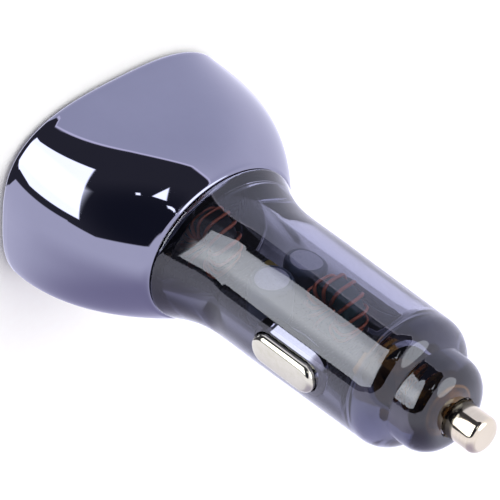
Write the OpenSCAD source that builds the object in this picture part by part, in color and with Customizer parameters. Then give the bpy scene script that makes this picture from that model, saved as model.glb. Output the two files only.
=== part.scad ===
// Car charger plug: a mirror-plated oval head, a smoked clear barrel and three sprung contacts.
// It stands on its port face. +Z runs to the tip, +X along the head's long side, +Y across it.
// Behind the clear wall are the board, two wound toroids, two capacitors and the tip spring.

/* [Head] */
// Height of the head from its rim to the seam
head_h = 23.4; // [22:0.1:28]
// Width across the rim
rim_w = 41.4; // [38:0.1:46]
// Depth across the rim
rim_d = 31; // [28:0.1:34]
// Width that the side curve pulls to near the rim
belly_w = 45.4; // [41:0.1:48]
// Depth that the side curve pulls to near the rim
belly_d = 26.4; // [24:0.1:31]
// Width that the side curve pulls to near the seam
waist_w = 40.6; // [36:0.1:44]
// Depth that the side curve pulls to near the seam
waist_d = 28.6; // [25:0.1:31]
// Width across the seam
seam_w = 27; // [25:0.1:30]
// Depth across the seam
seam_d = 23.6; // [22:0.1:27]
// How square the oval is at the rim, 2 being an ellipse
rim_square = 2.9; // [2.2:0.05:3.6]
// Rounding of the rim's outer edge
rim_round = 1.3; // [0.6:0.1:2]
// Wall of the head
head_wall = 1.8; // [1.4:0.1:2.2]

/* [Face panel] */
// Width of the rim's front edge round the panel
rim_land = 2.2; // [1.8:0.1:3]
// Depth of the panel below the rim
panel_recess = 1; // [0.4:0.1:1.6]
// Thickness of the panel
panel_t = 2; // [1.4:0.1:2.6]
// Ledge that the panel seats on
panel_ledge = 1.2; // [0.8:0.1:1.6]

/* [Ports] */
// Distance between the centres of the two ports
port_pitch = 16.4; // [15:0.1:19]
// Shift of both ports along the head, which evens out the margins of the wide and the narrow one
port_shift = 2; // [1:0.1:2.6]
// Depth of both port shells
port_depth = 13.2; // [11.5:0.1:14]
// Outer width of the wide port's shell
usb_a_w = 13.2; // [13:0.1:13.6]
// Outer height of the wide port's shell
usb_a_h = 5.7; // [5.6:0.1:6]
// Outer width of the round-ended port's shell
usb_c_w = 9; // [8.9:0.1:9.3]
// Outer height of the round-ended port's shell
usb_c_h = 3.3; // [3.2:0.1:3.5]
// Sheet thickness of both shells
shell_t = 0.3; // [0.2:0.05:0.35]
// Distance of the wide port's inner contacts from its middle
inner_contact = 1; // [0.8:0.1:1.2]
// Distance of the wide port's outer contacts from its middle
outer_contact = 3.5; // [3:0.1:4]
// Length of the wide port's contacts
contact_l = 6.4; // [5:0.1:7]

/* [Barrel] */
// Length of the flare from the seam to the round plug body
flare_h = 8.9; // [7:0.1:11]
// How quickly the flare draws in, higher being quicker
flare_curve = 1.9; // [1.4:0.1:2.6]
// Radius of the plug body behind the side contacts
plug_r = 10.3; // [10:0.05:10.5]
// Length of the straight stretch of the plug body
plug_straight = 7; // [5:0.1:7.4]
// Radius of the plug body where the shoulder starts
plug_front_r = 10; // [9.6:0.05:10.3]
// Distance from the seam to the start of the shoulder
shoulder_at = 36.7; // [36:0.1:38]
// Rounding radius of the shoulder
shoulder_r = 4.2; // [3.4:0.1:4.6]
// Radius of the nose collar
collar_r = 7.2; // [6.8:0.1:7.6]
// Distance from the seam to the front of the nose
nose_at = 46.4; // [45.6:0.1:48]
// Rounding radius of the nose
nose_round = 3.9; // [3:0.1:4]
// Radius of the hollow inside the barrel
cavity_r = 7.6; // [7.4:0.05:7.9]
// Distance from the seam to the end of the hollow
cavity_end = 34.8; // [34.2:0.1:35.4]
// Rounding at the end of the hollow
cavity_round = 1.4; // [0.6:0.1:2]
// Length of the spigot that plugs into the head
spigot_h = 4.6; // [3:0.1:6]
// Wall of the spigot
spigot_wall = 1.5; // [1.2:0.1:1.8]

/* [Tip contact] */
// Radius of the part that shows
tip_r = 2.8; // [2.6:0.05:3.1]
// Length that stands out of the nose
tip_out = 5.3; // [4.6:0.1:6.4]
// Rounding of the end
tip_round = 1.1; // [0.6:0.1:1.4]
// Radius of the guide behind it
guide_r = 3.5; // [3.4:0.05:3.8]
// Length of the guide
guide_h = 2.2; // [1.6:0.1:3]
// Wall of the nose in front of the guide
nose_wall = 2.6; // [2:0.1:3.4]

/* [Tip spring] */
// Wire radius of the tip spring
spring_wire_r = 0.3; // [0.2:0.05:0.35]
// Mean radius of the tip spring's coils
spring_r = 1.75; // [1.65:0.05:1.85]
// Number of coils of the tip spring
spring_turns = 6; // [4:1:7]

/* [Side contacts] */
// Distance from the seam to the middle of the side contacts
side_at = 23.8; // [23:0.1:24.6]
// Length of the part that shows
side_l = 11.8; // [11:0.1:12.4]
// Width of the part that shows
side_w = 4.6; // [4.2:0.1:5]
// How far it stands out of the plug body
side_out = 1; // [0.7:0.05:1.3]
// Rounding of its outer edge
side_round = 0.9; // [0.5:0.05:1.1]
// Width of the flange round its foot
side_flange = 0.9; // [0.6:0.05:1.1]
// Thickness of the flange
side_flange_t = 0.6; // [0.5:0.05:0.8]
// Sheet thickness of the contact
side_t = 0.5; // [0.4:0.05:0.7]
// Thickness of the leaf springs
leaf_t = 0.2; // [0.15:0.05:0.3]

/* [Board] */
// Thickness of the board
board_t = 1.6; // [1.2:0.1:1.7]
// Width of the board in the barrel
board_neck_w = 11; // [10.4:0.1:11.2]
// Width of the board in the head
board_head_w = 30; // [28:0.1:31]
// Distance from the rim to the front edge of the board
board_front = 4.6; // [4.4:0.1:6]
// How far the board's wide part reaches behind the ports
board_behind = 0.1; // [0:0.1:1]
// Gap between the end of the board and the end of the hollow
board_end_gap = 0.6; // [0.3:0.1:1.8]

/* [Parts on the board] */
// Diameter of both capacitor cans
can_d = 6.3; // [5.6:0.1:6.3]
// Height of both capacitor cans
can_h = 6.6; // [6:0.1:6.6]
// Rounding of the rolled edge round a can's top
can_roll = 0.75; // [0.5:0.05:0.9]
// Distance from the seam to the middle of the capacitor cans
can_at = 13.8; // [13.2:0.1:14]
// Height of the fuse over its legs
fuse_h = 4.6; // [3.4:0.1:5]
// Width of the fuse along the barrel
fuse_w = 3; // [2.4:0.1:3.2]
// Thickness of the fuse
fuse_t = 1; // [0.8:0.1:1.2]
// Outer diameter of the input choke's core, near the head
input_core_d = 8.4; // [7.6:0.1:8.6]
// Distance from the seam to the middle of the input choke
input_core_at = 1; // [0.6:0.1:1.6]
// Outer diameter of the output choke's core, towards the nose
output_core_d = 8; // [7.4:0.1:8.2]
// Distance from the seam to the middle of the output choke
output_core_at = 22.2; // [22:0.1:23]
// Hole diameter of both cores
core_hole = 3.6; // [3.3:0.1:3.8]
// Thickness of both cores
core_t = 4.2; // [3.4:0.1:4.4]
// Radius of the winding wire
wire_r = 0.22; // [0.15:0.01:0.26]
// Number of turns on the input choke
input_turns = 13; // [9:1:14]
// Number of turns on the output choke
output_turns = 11; // [8:1:13]
// Width of a power transistor's body
power_w = 3.6; // [3:0.1:3.8]
// Length of a power transistor's body
power_l = 4.4; // [3.6:0.1:4.8]
// Distance from the seam to the middle of the first power transistor
power_at = 14; // [13:0.1:15]
// Distance between the two power transistors
power_pitch = 13; // [11:0.1:13.4]
// Distance from the seam to the middle of the controller chip
controller_at = 5; // [4:0.1:6]
// Length of a chip capacitor
ceramic_l = 1.8; // [1.2:0.1:2]
// Width and height of a chip capacitor
ceramic_w = 0.9; // [0.6:0.1:1]
// Distance between neighbouring chip capacitors
ceramic_pitch = 2.6; // [2:0.1:2.8]

/* [Hidden] */
$fn = 64;
// Points round each oval, and steps along the head and the flare
oval_n = 48;
head_steps = 12;
flare_steps = 7;
round_steps = 3;
// Clearances: seated pieces, sliding pieces, slots in the clear wall and the hair's breadth where
// one curved piece rests on another
seat_gap = 0.1;
slide_gap = 0.08;
slot_gap = 0.15;
touch_gap = 0.02;
// The flare meets the round body this little outside it, so that no two faces graze
flare_lip = 0.03;
// Overlap that joins the pieces of one solid
join = 0.5;

seam_z = head_h;
plug_z = seam_z + flare_h;
shoulder_z = seam_z + shoulder_at;
nose_z = seam_z + nose_at;
cavity_z = seam_z + cavity_end;
tip_z = nose_z + tip_out;
side_z = seam_z + side_at;
panel_z = panel_recess;
panel_back = panel_recess + panel_t;
// The board carries the ports, so its top face lies half a port below the middle
board_y = -usb_a_h / 2;
mid_square = rim_square - 0.1;
usb_a_x = port_shift - port_pitch / 2;
usb_c_x = port_shift + port_pitch / 2;
port_front = panel_recess + 0.2;
port_back = port_front + port_depth;
// The wide port's tongue hangs under its shell's upper side, set back from the mouth
tongue_w = 11.1;
tongue_t = 1.9;
tongue_y = usb_a_h / 2 - shell_t - 0.8 - tongue_t;
tongue_inset = 1;
// The round-ended port's tongue lies in its middle, and its moulding closes the shell behind
c_tongue_w = 6.7;
c_tongue_t = 0.7;
c_inset = 0.8;
c_back_t = 1;
board_shoulder = port_back + board_behind;
board_end_z = cavity_z - board_end_gap;
ceramic_z = port_back + c_back_t + 1.3;
guide_z = nose_z - nose_wall;
guide_bore_r = guide_r + slide_gap;
tip_bore_r = tip_r + slide_gap;
tip_relief = 0.1;
stud_z = cavity_z + 0.4;
stud_plate_t = 0.8;
stud_post_r = 1.1;
stud_post_h = 2.6;
spring_floor = stud_z + stud_plate_t;
spring_seat = nose_z - 1;
tip_back_r = spring_r + spring_wire_r + 0.15;
side_x = plug_r + side_out;
pocket_x = cavity_r + 0.5;
wire_off = wire_r + 0.13;
core_round = 1;
// The pair of cans sits a little off the middle, with a hair of air between the sleeves
can_shift = 0.4;
can_x = can_d / 2 + 0.1;
// The chokes stand on either side of the middle, as their legs are laid out
input_core_x = -2.7;
output_core_x = 1.4;

function bezier(a, b, c, d, u) =
    a * pow(1 - u, 3) + 3 * b * u * pow(1 - u, 2) + 3 * c * u * u * (1 - u) + d * pow(u, 3);
function arch(a, b, c, u) = a * pow(1 - u, 2) + 2 * b * u * (1 - u) + c * u * u;
function mix(a, b, u) = a + (b - a) * u;
function side(v, power) = sign(v) * pow(abs(v), power);

// One ring of an oval with half sizes a and b, and square as the oval's power
function oval(a, b, square, z) = [
    for (i = [0:oval_n - 1])
        let (t = 360 * i / oval_n)
        [a * side(cos(t), 2 / square), b * side(sin(t), 2 / square), z]
];

// The head's side at the share u of its height, drawn in by inset
function head_ring(u, inset) = oval(
    bezier(rim_w, belly_w, waist_w, seam_w, u) / 2 - inset,
    bezier(rim_d, belly_d, waist_d, seam_d, u) / 2 - inset,
    arch(rim_square, mid_square, 2, u),
    mix(rim_round, head_h, u));

// The flare from the oval seam to a circle of radius r, with the seam drawn in by inset
function flare_ring(u, r, inset) =
    let (w = pow(1 - u, flare_curve))
    oval(mix(r, seam_w / 2 - inset, w), mix(r, seam_d / 2 - inset, w), 2, seam_z + flare_h * u);

// Joins a list of rings into one closed skin
module skin(rings) {
    n = len(rings[0]);
    last = len(rings) - 1;
    points = [for (ring = rings) for (p = ring) p];
    walls = [
        for (k = [0:last - 1])
            for (i = [0:n - 1])
                let (j = (i + 1) % n)
                each [[k * n + i, (k + 1) * n + i, (k + 1) * n + j], [k * n + i, (k + 1) * n + j, k * n + j]]
    ];
    floor_cap = [[for (i = [0:n - 1]) i]];
    roof_cap = [[for (i = [n - 1:-1:0]) last * n + i]];
    polyhedron(points = points, faces = concat(walls, floor_cap, roof_cap));
}

// A wire of radius r along a list of points, each ring square to its neighbours' line
module wire(path, r, sides) {
    last = len(path) - 1;
    rings = [
        for (k = [0:last])
            let (
                d = path[min(k + 1, last)] - path[max(k - 1, 0)],
                t = d / norm(d),
                s = cross(t, abs(t[2]) > 0.9 ? [1, 0, 0] : [0, 0, 1]),
                a = s / norm(s),
                b = cross(t, a)
            )
            [for (i = [0:sides - 1]) path[k] + r * (a * cos(360 * i / sides) - b * sin(360 * i / sides))]
    ];
    skin(rings);
}

// A flat shape with round ends, long along Y
module stadium(length, width) {
    square([width, length - width], center = true);
    for (s = [-1, 1]) {
        translate([0, s * (length - width) / 2]) circle(width / 2);
    }
}

// The half section of a pressed pill: a block of the given half width with a rounded top edge
module pill_section(half, height, round_r) {
    square([half - round_r, height]);
    square([half, height - round_r]);
    translate([half - round_r, height - round_r]) circle(round_r);
}

// A pill standing on z = 0, long along Y, with round ends and a rounded top edge
module pill(length, width, height, round_r) {
    span = length - width;
    for (s = [-1, 1]) {
        translate([0, s * span / 2, 0]) rotate_extrude() intersection() {
            pill_section(width / 2, height, round_r);
            square([width, height + width]);
        }
    }
    rotate([90, 0, 0]) linear_extrude(span, center = true) {
        pill_section(width / 2, height, round_r);
        mirror([1, 0]) pill_section(width / 2, height, round_r);
    }
}

// Lays a shape that stands on its own z = 0 so that it looks along X, on the left or on the right
module facing_x(s, z) {
    translate([0, 0, z]) rotate([0, s * 90, 0]) rotate([0, 0, 90]) children();
}

// Head: a lofted shell with a rounded rim, a front pocket for the panel and an open top
module head_shell() {
    rim = [
        for (k = [0:round_steps - 1])
            let (t = 90 * k / round_steps, d = rim_round * (1 - sin(t)))
            oval(rim_w / 2 - d, rim_d / 2 - d, rim_square, rim_round * (1 - cos(t)))
    ];
    body = [for (k = [0:head_steps]) head_ring(k / head_steps, 0)];
    ledge_z = panel_back;
    cavity_start = 3;
    ledge = [oval(
        rim_w / 2 - rim_land - panel_ledge, rim_d / 2 - rim_land - panel_ledge,
        rim_square, ledge_z - join)];
    cavity = [for (k = [cavity_start:head_steps]) head_ring(k / head_steps, head_wall)];
    mouth = [oval(seam_w / 2 - head_wall, seam_d / 2 - head_wall, 2, seam_z + join)];
    color("dimgray") difference() {
        skin(concat(rim, body));
        skin(concat(ledge, cavity, mouth));
        translate([0, 0, -join]) linear_extrude(ledge_z + join) pocket_shape(0);
    }
}

// Outline of the front pocket, drawn in by gap
module pocket_shape(gap) {
    polygon([
        for (p = oval(rim_w / 2 - rim_land - gap, rim_d / 2 - rim_land - gap, rim_square, 0)) [p[0], p[1]]
    ]);
}

// Face panel: a plate on the ledge, cut for the two ports
module face_panel() {
    color("black") translate([0, 0, panel_z]) linear_extrude(panel_t) difference() {
        pocket_shape(seat_gap);
        translate([usb_a_x, 0]) square([usb_a_w + 2 * seat_gap, usb_a_h + 2 * seat_gap], center = true);
        translate([usb_c_x, 0]) rotate(90) stadium(usb_c_w + 2 * seat_gap, usb_c_h + 2 * seat_gap);
    }
}

// Half section of the barrel's outside, from the end of the flare to the nose
module barrel_section() {
    polygon([
        [0, plug_z - join], [plug_r, plug_z - join], [plug_r, plug_z + plug_straight],
        [plug_front_r, shoulder_z], [0, shoulder_z]
    ]);
    shoulder_c = plug_front_r - shoulder_r;
    translate([0, shoulder_z - join]) square([shoulder_c, shoulder_r + join]);
    intersection() {
        translate([shoulder_c, shoulder_z]) circle(shoulder_r);
        translate([0, shoulder_z - join]) square([plug_r * 2, shoulder_r * 2]);
    }
    nose_c = collar_r - nose_round;
    translate([0, shoulder_z]) square([collar_r, nose_z - nose_round - shoulder_z]);
    translate([0, shoulder_z]) square([nose_c, nose_z - shoulder_z]);
    intersection() {
        translate([nose_c, nose_z - nose_round]) circle(nose_round);
        square([plug_r, nose_z]);
    }
}

// Half section of the round hollow, its rounded end and the two bores of the nose
module hollow_section() {
    translate([0, plug_z - join]) square([cavity_r, cavity_z - cavity_round - plug_z + join]);
    translate([0, plug_z]) square([cavity_r - cavity_round, cavity_z - plug_z]);
    intersection() {
        translate([cavity_r - cavity_round, cavity_z - cavity_round]) circle(cavity_round);
        square([cavity_r, cavity_z]);
    }
    translate([0, cavity_z - join]) square([guide_bore_r, guide_z - cavity_z + join]);
    translate([0, guide_z - join]) square([tip_bore_r, nose_z - guide_z + 2 * join]);
}

// Barrel: lofted flare and spigot, turned plug body, shoulder and nose, hollow with side slots
module barrel() {
    spigot_a = seam_w / 2 - head_wall - seat_gap;
    spigot_b = seam_d / 2 - head_wall - seat_gap;
    inner_a = spigot_a - spigot_wall;
    inner_b = spigot_b - spigot_wall;
    spigot_z = seam_z - spigot_h;
    inset = head_wall + seat_gap + spigot_wall;
    outer_r = plug_r + flare_lip;
    inner_r = cavity_r + flare_lip;
    lip_z = plug_z + 2 * flare_lip;
    flare = [for (k = [0:flare_steps]) flare_ring(k / flare_steps, outer_r, 0)];
    hollow = [for (k = [0:flare_steps]) flare_ring(k / flare_steps, inner_r, inset)];
    color("slategray", 0.45) difference() {
        union() {
            skin(concat(flare, [oval(outer_r, outer_r, 2, lip_z)]));
            translate([0, 0, spigot_z]) linear_extrude(spigot_h + join)
                polygon([for (p = oval(spigot_a, spigot_b, 2, 0)) [p[0], p[1]]]);
            rotate_extrude() barrel_section();
        }
        skin(concat(
            [oval(inner_a, inner_b, 2, spigot_z - join)],
            hollow,
            [oval(inner_r, inner_r, 2, lip_z)]
        ));
        rotate_extrude() hollow_section();
        for (s = [-1, 1]) {
            facing_x(s, side_z) {
                linear_extrude(plug_r * 2) stadium(side_l + 2 * slot_gap, side_w + 2 * slot_gap);
                linear_extrude(pocket_x)
                    stadium(side_l + 2 * side_flange + 2 * slot_gap, side_w + 2 * side_flange + 2 * slot_gap);
            }
        }
    }
}

// Tip contact: a turned pin with a rounded end, a guide collar and a bore for the spring
module tip_contact() {
    color("gainsboro") rotate_extrude() difference() {
        union() {
            translate([0, guide_z - guide_h]) square([guide_r, guide_h]);
            // Inside the nose the pin is relieved, so only its front stretch runs true
            translate([0, guide_z - join]) square([tip_r - tip_relief, nose_z - guide_z + join]);
            translate([0, nose_z]) square([tip_r, tip_z - tip_round - nose_z]);
            translate([0, guide_z]) square([tip_r - tip_round, tip_z - guide_z]);
            translate([tip_r - tip_round, tip_z - tip_round]) circle(tip_round);
        }
        translate([0, guide_z - guide_h - join])
            square([tip_back_r, spring_seat - guide_z + guide_h + join]);
    }
}

// Coil spring between the stud and the bore of the tip contact
module tip_spring() {
    low = spring_floor + spring_wire_r + touch_gap;
    high = spring_seat - spring_wire_r - touch_gap;
    steps = 16 * spring_turns;
    // The end coils lie flat, so the rise is slow at both ends
    path = [
        for (k = [0:steps])
            let (u = k / steps, t = 360 * spring_turns * u, rise = u - sin(360 * u) / 360 * 30)
            [spring_r * cos(t), spring_r * sin(t), mix(low, high, rise)]
    ];
    color("peru") wire(path, spring_wire_r, 6);
}

// Terminal: a plate soldered to the board's end, with the seat and the post of the spring
module terminal_stud() {
    foot_l = 3;
    half_w = 1.8;
    color("goldenrod") {
        translate([0, 0, stud_z]) cylinder(r = spring_r + spring_wire_r + 0.2, h = stud_plate_t);
        stud_post();
        translate([-half_w, board_y, board_end_z + seat_gap])
            cube([2 * half_w, half_w - board_y, stud_z - board_end_z - seat_gap + join / 2]);
        translate([-half_w, board_y, board_end_z - foot_l])
            cube([2 * half_w, stud_plate_t / 2, foot_l + seat_gap + join / 2]);
    }
}
module stud_post() {
    translate([0, 0, stud_z]) cylinder(r = stud_post_r, h = stud_plate_t + stud_post_h);
}

// Side contact: a pressed pill, open behind, with a flange that stops it in the wall
module side_contact(s) {
    flange_x = pocket_x - side_flange_t;
    flange_l = side_l + 2 * side_flange;
    flange_w = side_w + 2 * side_flange;
    inner_h = side_x - flange_x - side_t;
    color("gainsboro") facing_x(s, side_z) difference() {
        union() {
            translate([0, 0, flange_x]) pill(side_l, side_w, side_x - flange_x, side_round);
            translate([0, 0, flange_x]) linear_extrude(side_flange_t) stadium(flange_l, flange_w);
        }
        translate([0, 0, flange_x - join])
            pill(side_l - 2 * side_t, side_w - 2 * side_t, inner_h + join, side_round - side_t / 2);
    }
}
module left_contact() {
    side_contact(-1);
}
module right_contact() {
    side_contact(1);
}

// Leaf spring: a bowed strip that bears on the flange, with a foot on the board's edge
module leaf(s) {
    flange_x = pocket_x - side_flange_t;
    half_l = side_l / 2 + side_flange / 2;
    tip_x = flange_x - touch_gap;
    bow = flange_x - board_neck_w / 2 - leaf_t;
    half_w = 2;
    steps = 10;
    function bowed(v, back) = [tip_x - bow * (1 - v * v) - back, v * half_l];
    outer = [for (k = [-steps:steps]) bowed(k / steps, 0)];
    inner = [for (k = [steps:-1:-steps]) bowed(k / steps, leaf_t)];
    lug_x = tip_x - bow - leaf_t;
    color("silver") mirror([s < 0 ? 1 : 0, 0, 0]) translate([0, 0, side_z]) {
        rotate([90, 0, 0]) linear_extrude(2 * half_w, center = true) polygon(concat(outer, inner));
        translate([lug_x, board_y, -1]) cube([leaf_t, -board_y, 2]);
    }
}
module left_leaf() {
    leaf(-1);
}
module right_leaf() {
    leaf(1);
}

// Board: wide in the head for the ports, narrow in the barrel
module main_board() {
    head_half = board_head_w / 2;
    neck_half = board_neck_w / 2;
    slope = head_half - neck_half;
    color("darkslategray") translate([0, board_y, 0]) rotate([90, 0, 0]) linear_extrude(board_t) polygon([
        [-head_half, board_front], [head_half, board_front], [head_half, board_shoulder],
        [neck_half, board_shoulder + slope / 2], [neck_half, board_end_z - 1], [neck_half - 1, board_end_z],
        [1 - neck_half, board_end_z], [-neck_half, board_end_z - 1], [-neck_half, board_shoulder + slope / 2],
        [-head_half, board_shoulder]
    ]);
}

// Height of the middle of a core of diameter d that stands on its winding
function core_y(d) = board_y + d / 2 + 2 * wire_r + 0.15;

// Toroid core of diameter d standing on its edge, its axis along X
module toroid_core(d, x, z) {
    band = (d - core_hole) / 2;
    translate([x, core_y(d), z]) rotate([0, 90, 0]) rotate_extrude() translate([(d + core_hole) / 4, 0]) {
        square([band, core_t - 2 * core_round], center = true);
        square([band - 2 * core_round + touch_gap, core_t], center = true);
        for (a = [-1, 1], b = [-1, 1]) {
            translate([a * (band / 2 - core_round), b * (core_t / 2 - core_round)]) circle(core_round);
        }
    }
}

// One continuous wire wound round such a core, leaving a gap towards the board
module toroid_winding(d, x, z, turns) {
    per_turn = 16;
    steps = per_turn * turns;
    sweep = 320;
    mid_r = (d + core_hole) / 4;
    half_r = (d - core_hole) / 4 + wire_off;
    half_x = core_t / 2 + wire_off;
    power = 2 / 3.4;
    path = [
        for (k = [0:steps])
            let (
                t = 360 * k / per_turn,
                turn = -90 + (360 - sweep) / 2 + sweep * k / steps,
                r = mid_r + half_r * side(cos(t), power),
                out = half_x * side(sin(t), power)
            )
            [x + out, core_y(d) + r * sin(turn), z + r * cos(turn)]
    ];
    color("peru") wire(path, wire_r, 6);
}

module input_core() {
    color("#1c1f1d") toroid_core(input_core_d, input_core_x, seam_z + input_core_at);
}
module input_winding() {
    toroid_winding(input_core_d, input_core_x, seam_z + input_core_at, input_turns);
}
module output_core() {
    color("#2f5f58") toroid_core(output_core_d, output_core_x, seam_z + output_core_at);
}
module output_winding() {
    toroid_winding(output_core_d, output_core_x, seam_z + output_core_at, output_turns);
}

// Capacitor can: a sleeve with a rolled top edge and a crimp over its bung, standing on the board
module can(x) {
    top_r = can_d / 2 - can_roll;
    crimp_r = 0.4;
    crimp_deep = 0.2;
    crimp_y = 1.3;
    translate([x, board_y, seam_z + can_at]) rotate([-90, 0, 0]) rotate_extrude() difference() {
        union() {
            square([can_d / 2, can_h - can_roll]);
            square([top_r, can_h]);
            translate([top_r, can_h - can_roll]) circle(can_roll);
        }
        translate([0, can_h - can_roll / 2]) square([top_r, can_roll]);
        translate([can_d / 2 + crimp_r - crimp_deep, crimp_y]) circle(crimp_r);
    }
}
// The bare aluminium disc inside the rolled edge
module can_top(x) {
    top_r = can_d / 2 - can_roll - touch_gap;
    edge = 0.1;
    translate([x, board_y + can_h - can_roll / 2, seam_z + can_at]) rotate([-90, 0, 0]) {
        cylinder(r = top_r, h = can_roll / 2 - edge);
        translate([0, 0, can_roll / 2 - edge]) cylinder(r1 = top_r, r2 = top_r - edge, h = edge);
    }
}
module input_can() {
    color("darkslategray") can(can_shift - can_x);
}
module input_can_top() {
    color("silver") can_top(can_shift - can_x);
}
module output_can() {
    color("darkslategray") can(can_shift + can_x);
}
module output_can_top() {
    color("silver") can_top(can_shift + can_x);
}

// Resettable fuse: a thin yellow tablet on two legs, tucked into the notch between the cans
module fuse() {
    lift = 0.5;
    corner = 0.6;
    leg_r = 0.25;
    // How far before the cans' middle the notch is wide enough
    notch = sqrt(pow(can_d / 2, 2) - pow(can_x - fuse_t / 2 - seat_gap, 2));
    fuse_z = seam_z + can_at - notch - fuse_w / 2;
    color("yellowgreen") translate([can_shift, board_y, fuse_z]) {
        translate([-fuse_t / 2, lift, 0]) rotate([90, 0, 90]) linear_extrude(fuse_t) {
            translate([0, -fuse_w / 2]) tablet(fuse_h, fuse_w, corner);
        }
        for (s = [-1, 1]) {
            translate([0, 0, s * fuse_w / 4]) rotate([-90, 0, 0]) cylinder(r = leg_r, h = lift + corner);
        }
    }
}

// A flat rectangle with rounded corners, its corner at the origin
module tablet(length, width, corner) {
    translate([corner, 0]) square([length - 2 * corner, width]);
    translate([0, corner]) square([length, width - 2 * corner]);
    for (x = [corner, length - corner], y = [corner, width - corner]) {
        translate([x, y]) circle(corner);
    }
}

// A flat chip on the underside of the board: body and rows of bent legs
module chip(x, z, w, l, legs) {
    chip_h = 1.3;
    stand = 0.1;
    leg_w = 0.4;
    leg_out = 0.7;
    pitch = (l - leg_w) / max(legs - 1, 1);
    under = board_y - board_t;
    translate([x, under - chip_h - stand, z]) {
        translate([-w / 2, 0, -l / 2]) cube([w, chip_h, l]);
        for (s = [-1, 1], i = [0:legs - 1]) {
            leg_z = -l / 2 + pitch * i;
            leg_x = s > 0 ? w / 2 - join / 2 : -w / 2 - leg_out;
            translate([leg_x, chip_h / 2, leg_z]) cube([leg_out + join / 2, 0.15, leg_w]);
            foot_x = s > 0 ? w / 2 + leg_out - 0.3 : -w / 2 - leg_out;
            translate([foot_x, chip_h / 2, leg_z]) cube([0.3, chip_h / 2 + stand, leg_w]);
        }
    }
}
module controller_chip() {
    color("#1a1a1a") chip(0, seam_z + controller_at, power_w + 0.2, power_l + 0.5, 4);
}
module power_chips() {
    color("#1a1a1a") for (at = [power_at, power_at + power_pitch]) {
        chip(0, seam_z + at, power_w, power_l, 3);
    }
}

// Ceramic chip capacitors in a row on the wide part of the board, behind the ports
module chip_capacitors() {
    color("tan") for (i = [-2:2]) {
        translate([i * ceramic_pitch - ceramic_w / 2, board_y, ceramic_z])
            cube([ceramic_w, ceramic_w, ceramic_l]);
    }
}

// Wide port: a folded sheet shell, its tongue and the four contact strips
module usb_a_shell() {
    color("silver") translate([usb_a_x, 0, port_front]) difference() {
        translate([-usb_a_w / 2, -usb_a_h / 2, 0]) cube([usb_a_w, usb_a_h, port_depth]);
        translate([-usb_a_w / 2 + shell_t, -usb_a_h / 2 + shell_t, -join])
            cube([usb_a_w - 2 * shell_t, usb_a_h - 2 * shell_t, port_depth + 2 * join]);
        // Spring fingers stamped into the two wide sides
        for (x = [-1, 1], y = [-1, 1]) {
            translate([x * usb_a_w / 4, y * usb_a_h / 2, port_depth / 2 - 1]) {
                cube([2.4, shell_t * 4, 0.4], center = true);
                for (e = [-1, 1]) {
                    translate([e * 1.2, 0, 1.6]) cube([0.4, shell_t * 4, 3.6], center = true);
                }
            }
        }
    }
}
module usb_a_tongue() {
    block_h = 3.4;
    block_w = usb_a_w - 2 * shell_t - 2 * touch_gap;
    block_t = usb_a_h - 2 * shell_t - 2 * touch_gap;
    color("#202020") translate([usb_a_x, 0, port_front]) {
        translate([-block_w / 2, -block_t / 2, port_depth - block_h]) cube([block_w, block_t, block_h]);
        translate([-tongue_w / 2, tongue_y, tongue_inset])
            cube([tongue_w, tongue_t, port_depth - block_h - tongue_inset + join]);
    }
}
module usb_a_contacts() {
    strip_w = 1;
    strip_t = 0.15;
    color("gold") for (x = [-outer_contact, -inner_contact, inner_contact, outer_contact]) {
        translate([usb_a_x + x - strip_w / 2, tongue_y - strip_t, port_front + tongue_inset + 0.8])
            cube([strip_w, strip_t, contact_l]);
    }
}

// Round-ended port: drawn shell, thin tongue on a moulded base, and contacts on both faces
module usb_c_shell() {
    color("silver") translate([usb_c_x, 0, port_front]) linear_extrude(port_depth) rotate(90) difference() {
        stadium(usb_c_w, usb_c_h);
        stadium(usb_c_w - 2 * shell_t, usb_c_h - 2 * shell_t);
    }
}
module usb_c_tongue() {
    block_d = port_depth - 6;
    base_w = 6;
    base_h = -board_y - usb_c_h / 2 - touch_gap;
    color("#202020") translate([usb_c_x, 0, port_front]) {
        translate([0, 0, port_depth - block_d]) linear_extrude(block_d)
            rotate(90) stadium(usb_c_w - 2 * shell_t - 2 * touch_gap, usb_c_h - 2 * shell_t - 2 * touch_gap);
        translate([-c_tongue_w / 2, -c_tongue_t / 2, c_inset])
            cube([c_tongue_w, c_tongue_t, port_depth - block_d - c_inset + join]);
        // The base props the shell up to the middle of the face and joins behind it
        translate([-base_w / 2, board_y, 4]) cube([base_w, base_h, port_depth - 3]);
        translate([-base_w / 2, board_y, port_depth + touch_gap]) cube([base_w, 1 - board_y, c_back_t]);
        translate([-base_w / 4, -1, port_depth - join]) cube([base_w / 2, 2, join * 2]);
    }
}
module usb_c_contacts() {
    strip_w = 0.25;
    strip_t = 0.08;
    strip_l = 3.6;
    pitch = 0.5;
    color("gold") for (i = [0:11], s = [0, 1]) {
        x = usb_c_x + (i - 5.5) * pitch - strip_w / 2;
        y = s > 0 ? c_tongue_t / 2 : -c_tongue_t / 2 - strip_t;
        translate([x, y, port_front + c_inset + 0.5]) cube([strip_w, strip_t, strip_l]);
    }
}

head_shell();
face_panel();
barrel();
tip_contact();
tip_spring();
terminal_stud();
left_contact();
right_contact();
left_leaf();
right_leaf();
main_board();
input_core();
input_winding();
output_core();
output_winding();
input_can();
input_can_top();
output_can();
output_can_top();
fuse();
controller_chip();
power_chips();
chip_capacitors();
usb_a_shell();
usb_a_tongue();
usb_a_contacts();
usb_c_shell();
usb_c_tongue();
usb_c_contacts();
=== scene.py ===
import math

import bmesh
import bpy
import numpy as np
from mathutils import Matrix, Vector
from mathutils.bvhtree import BVHTree


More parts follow.
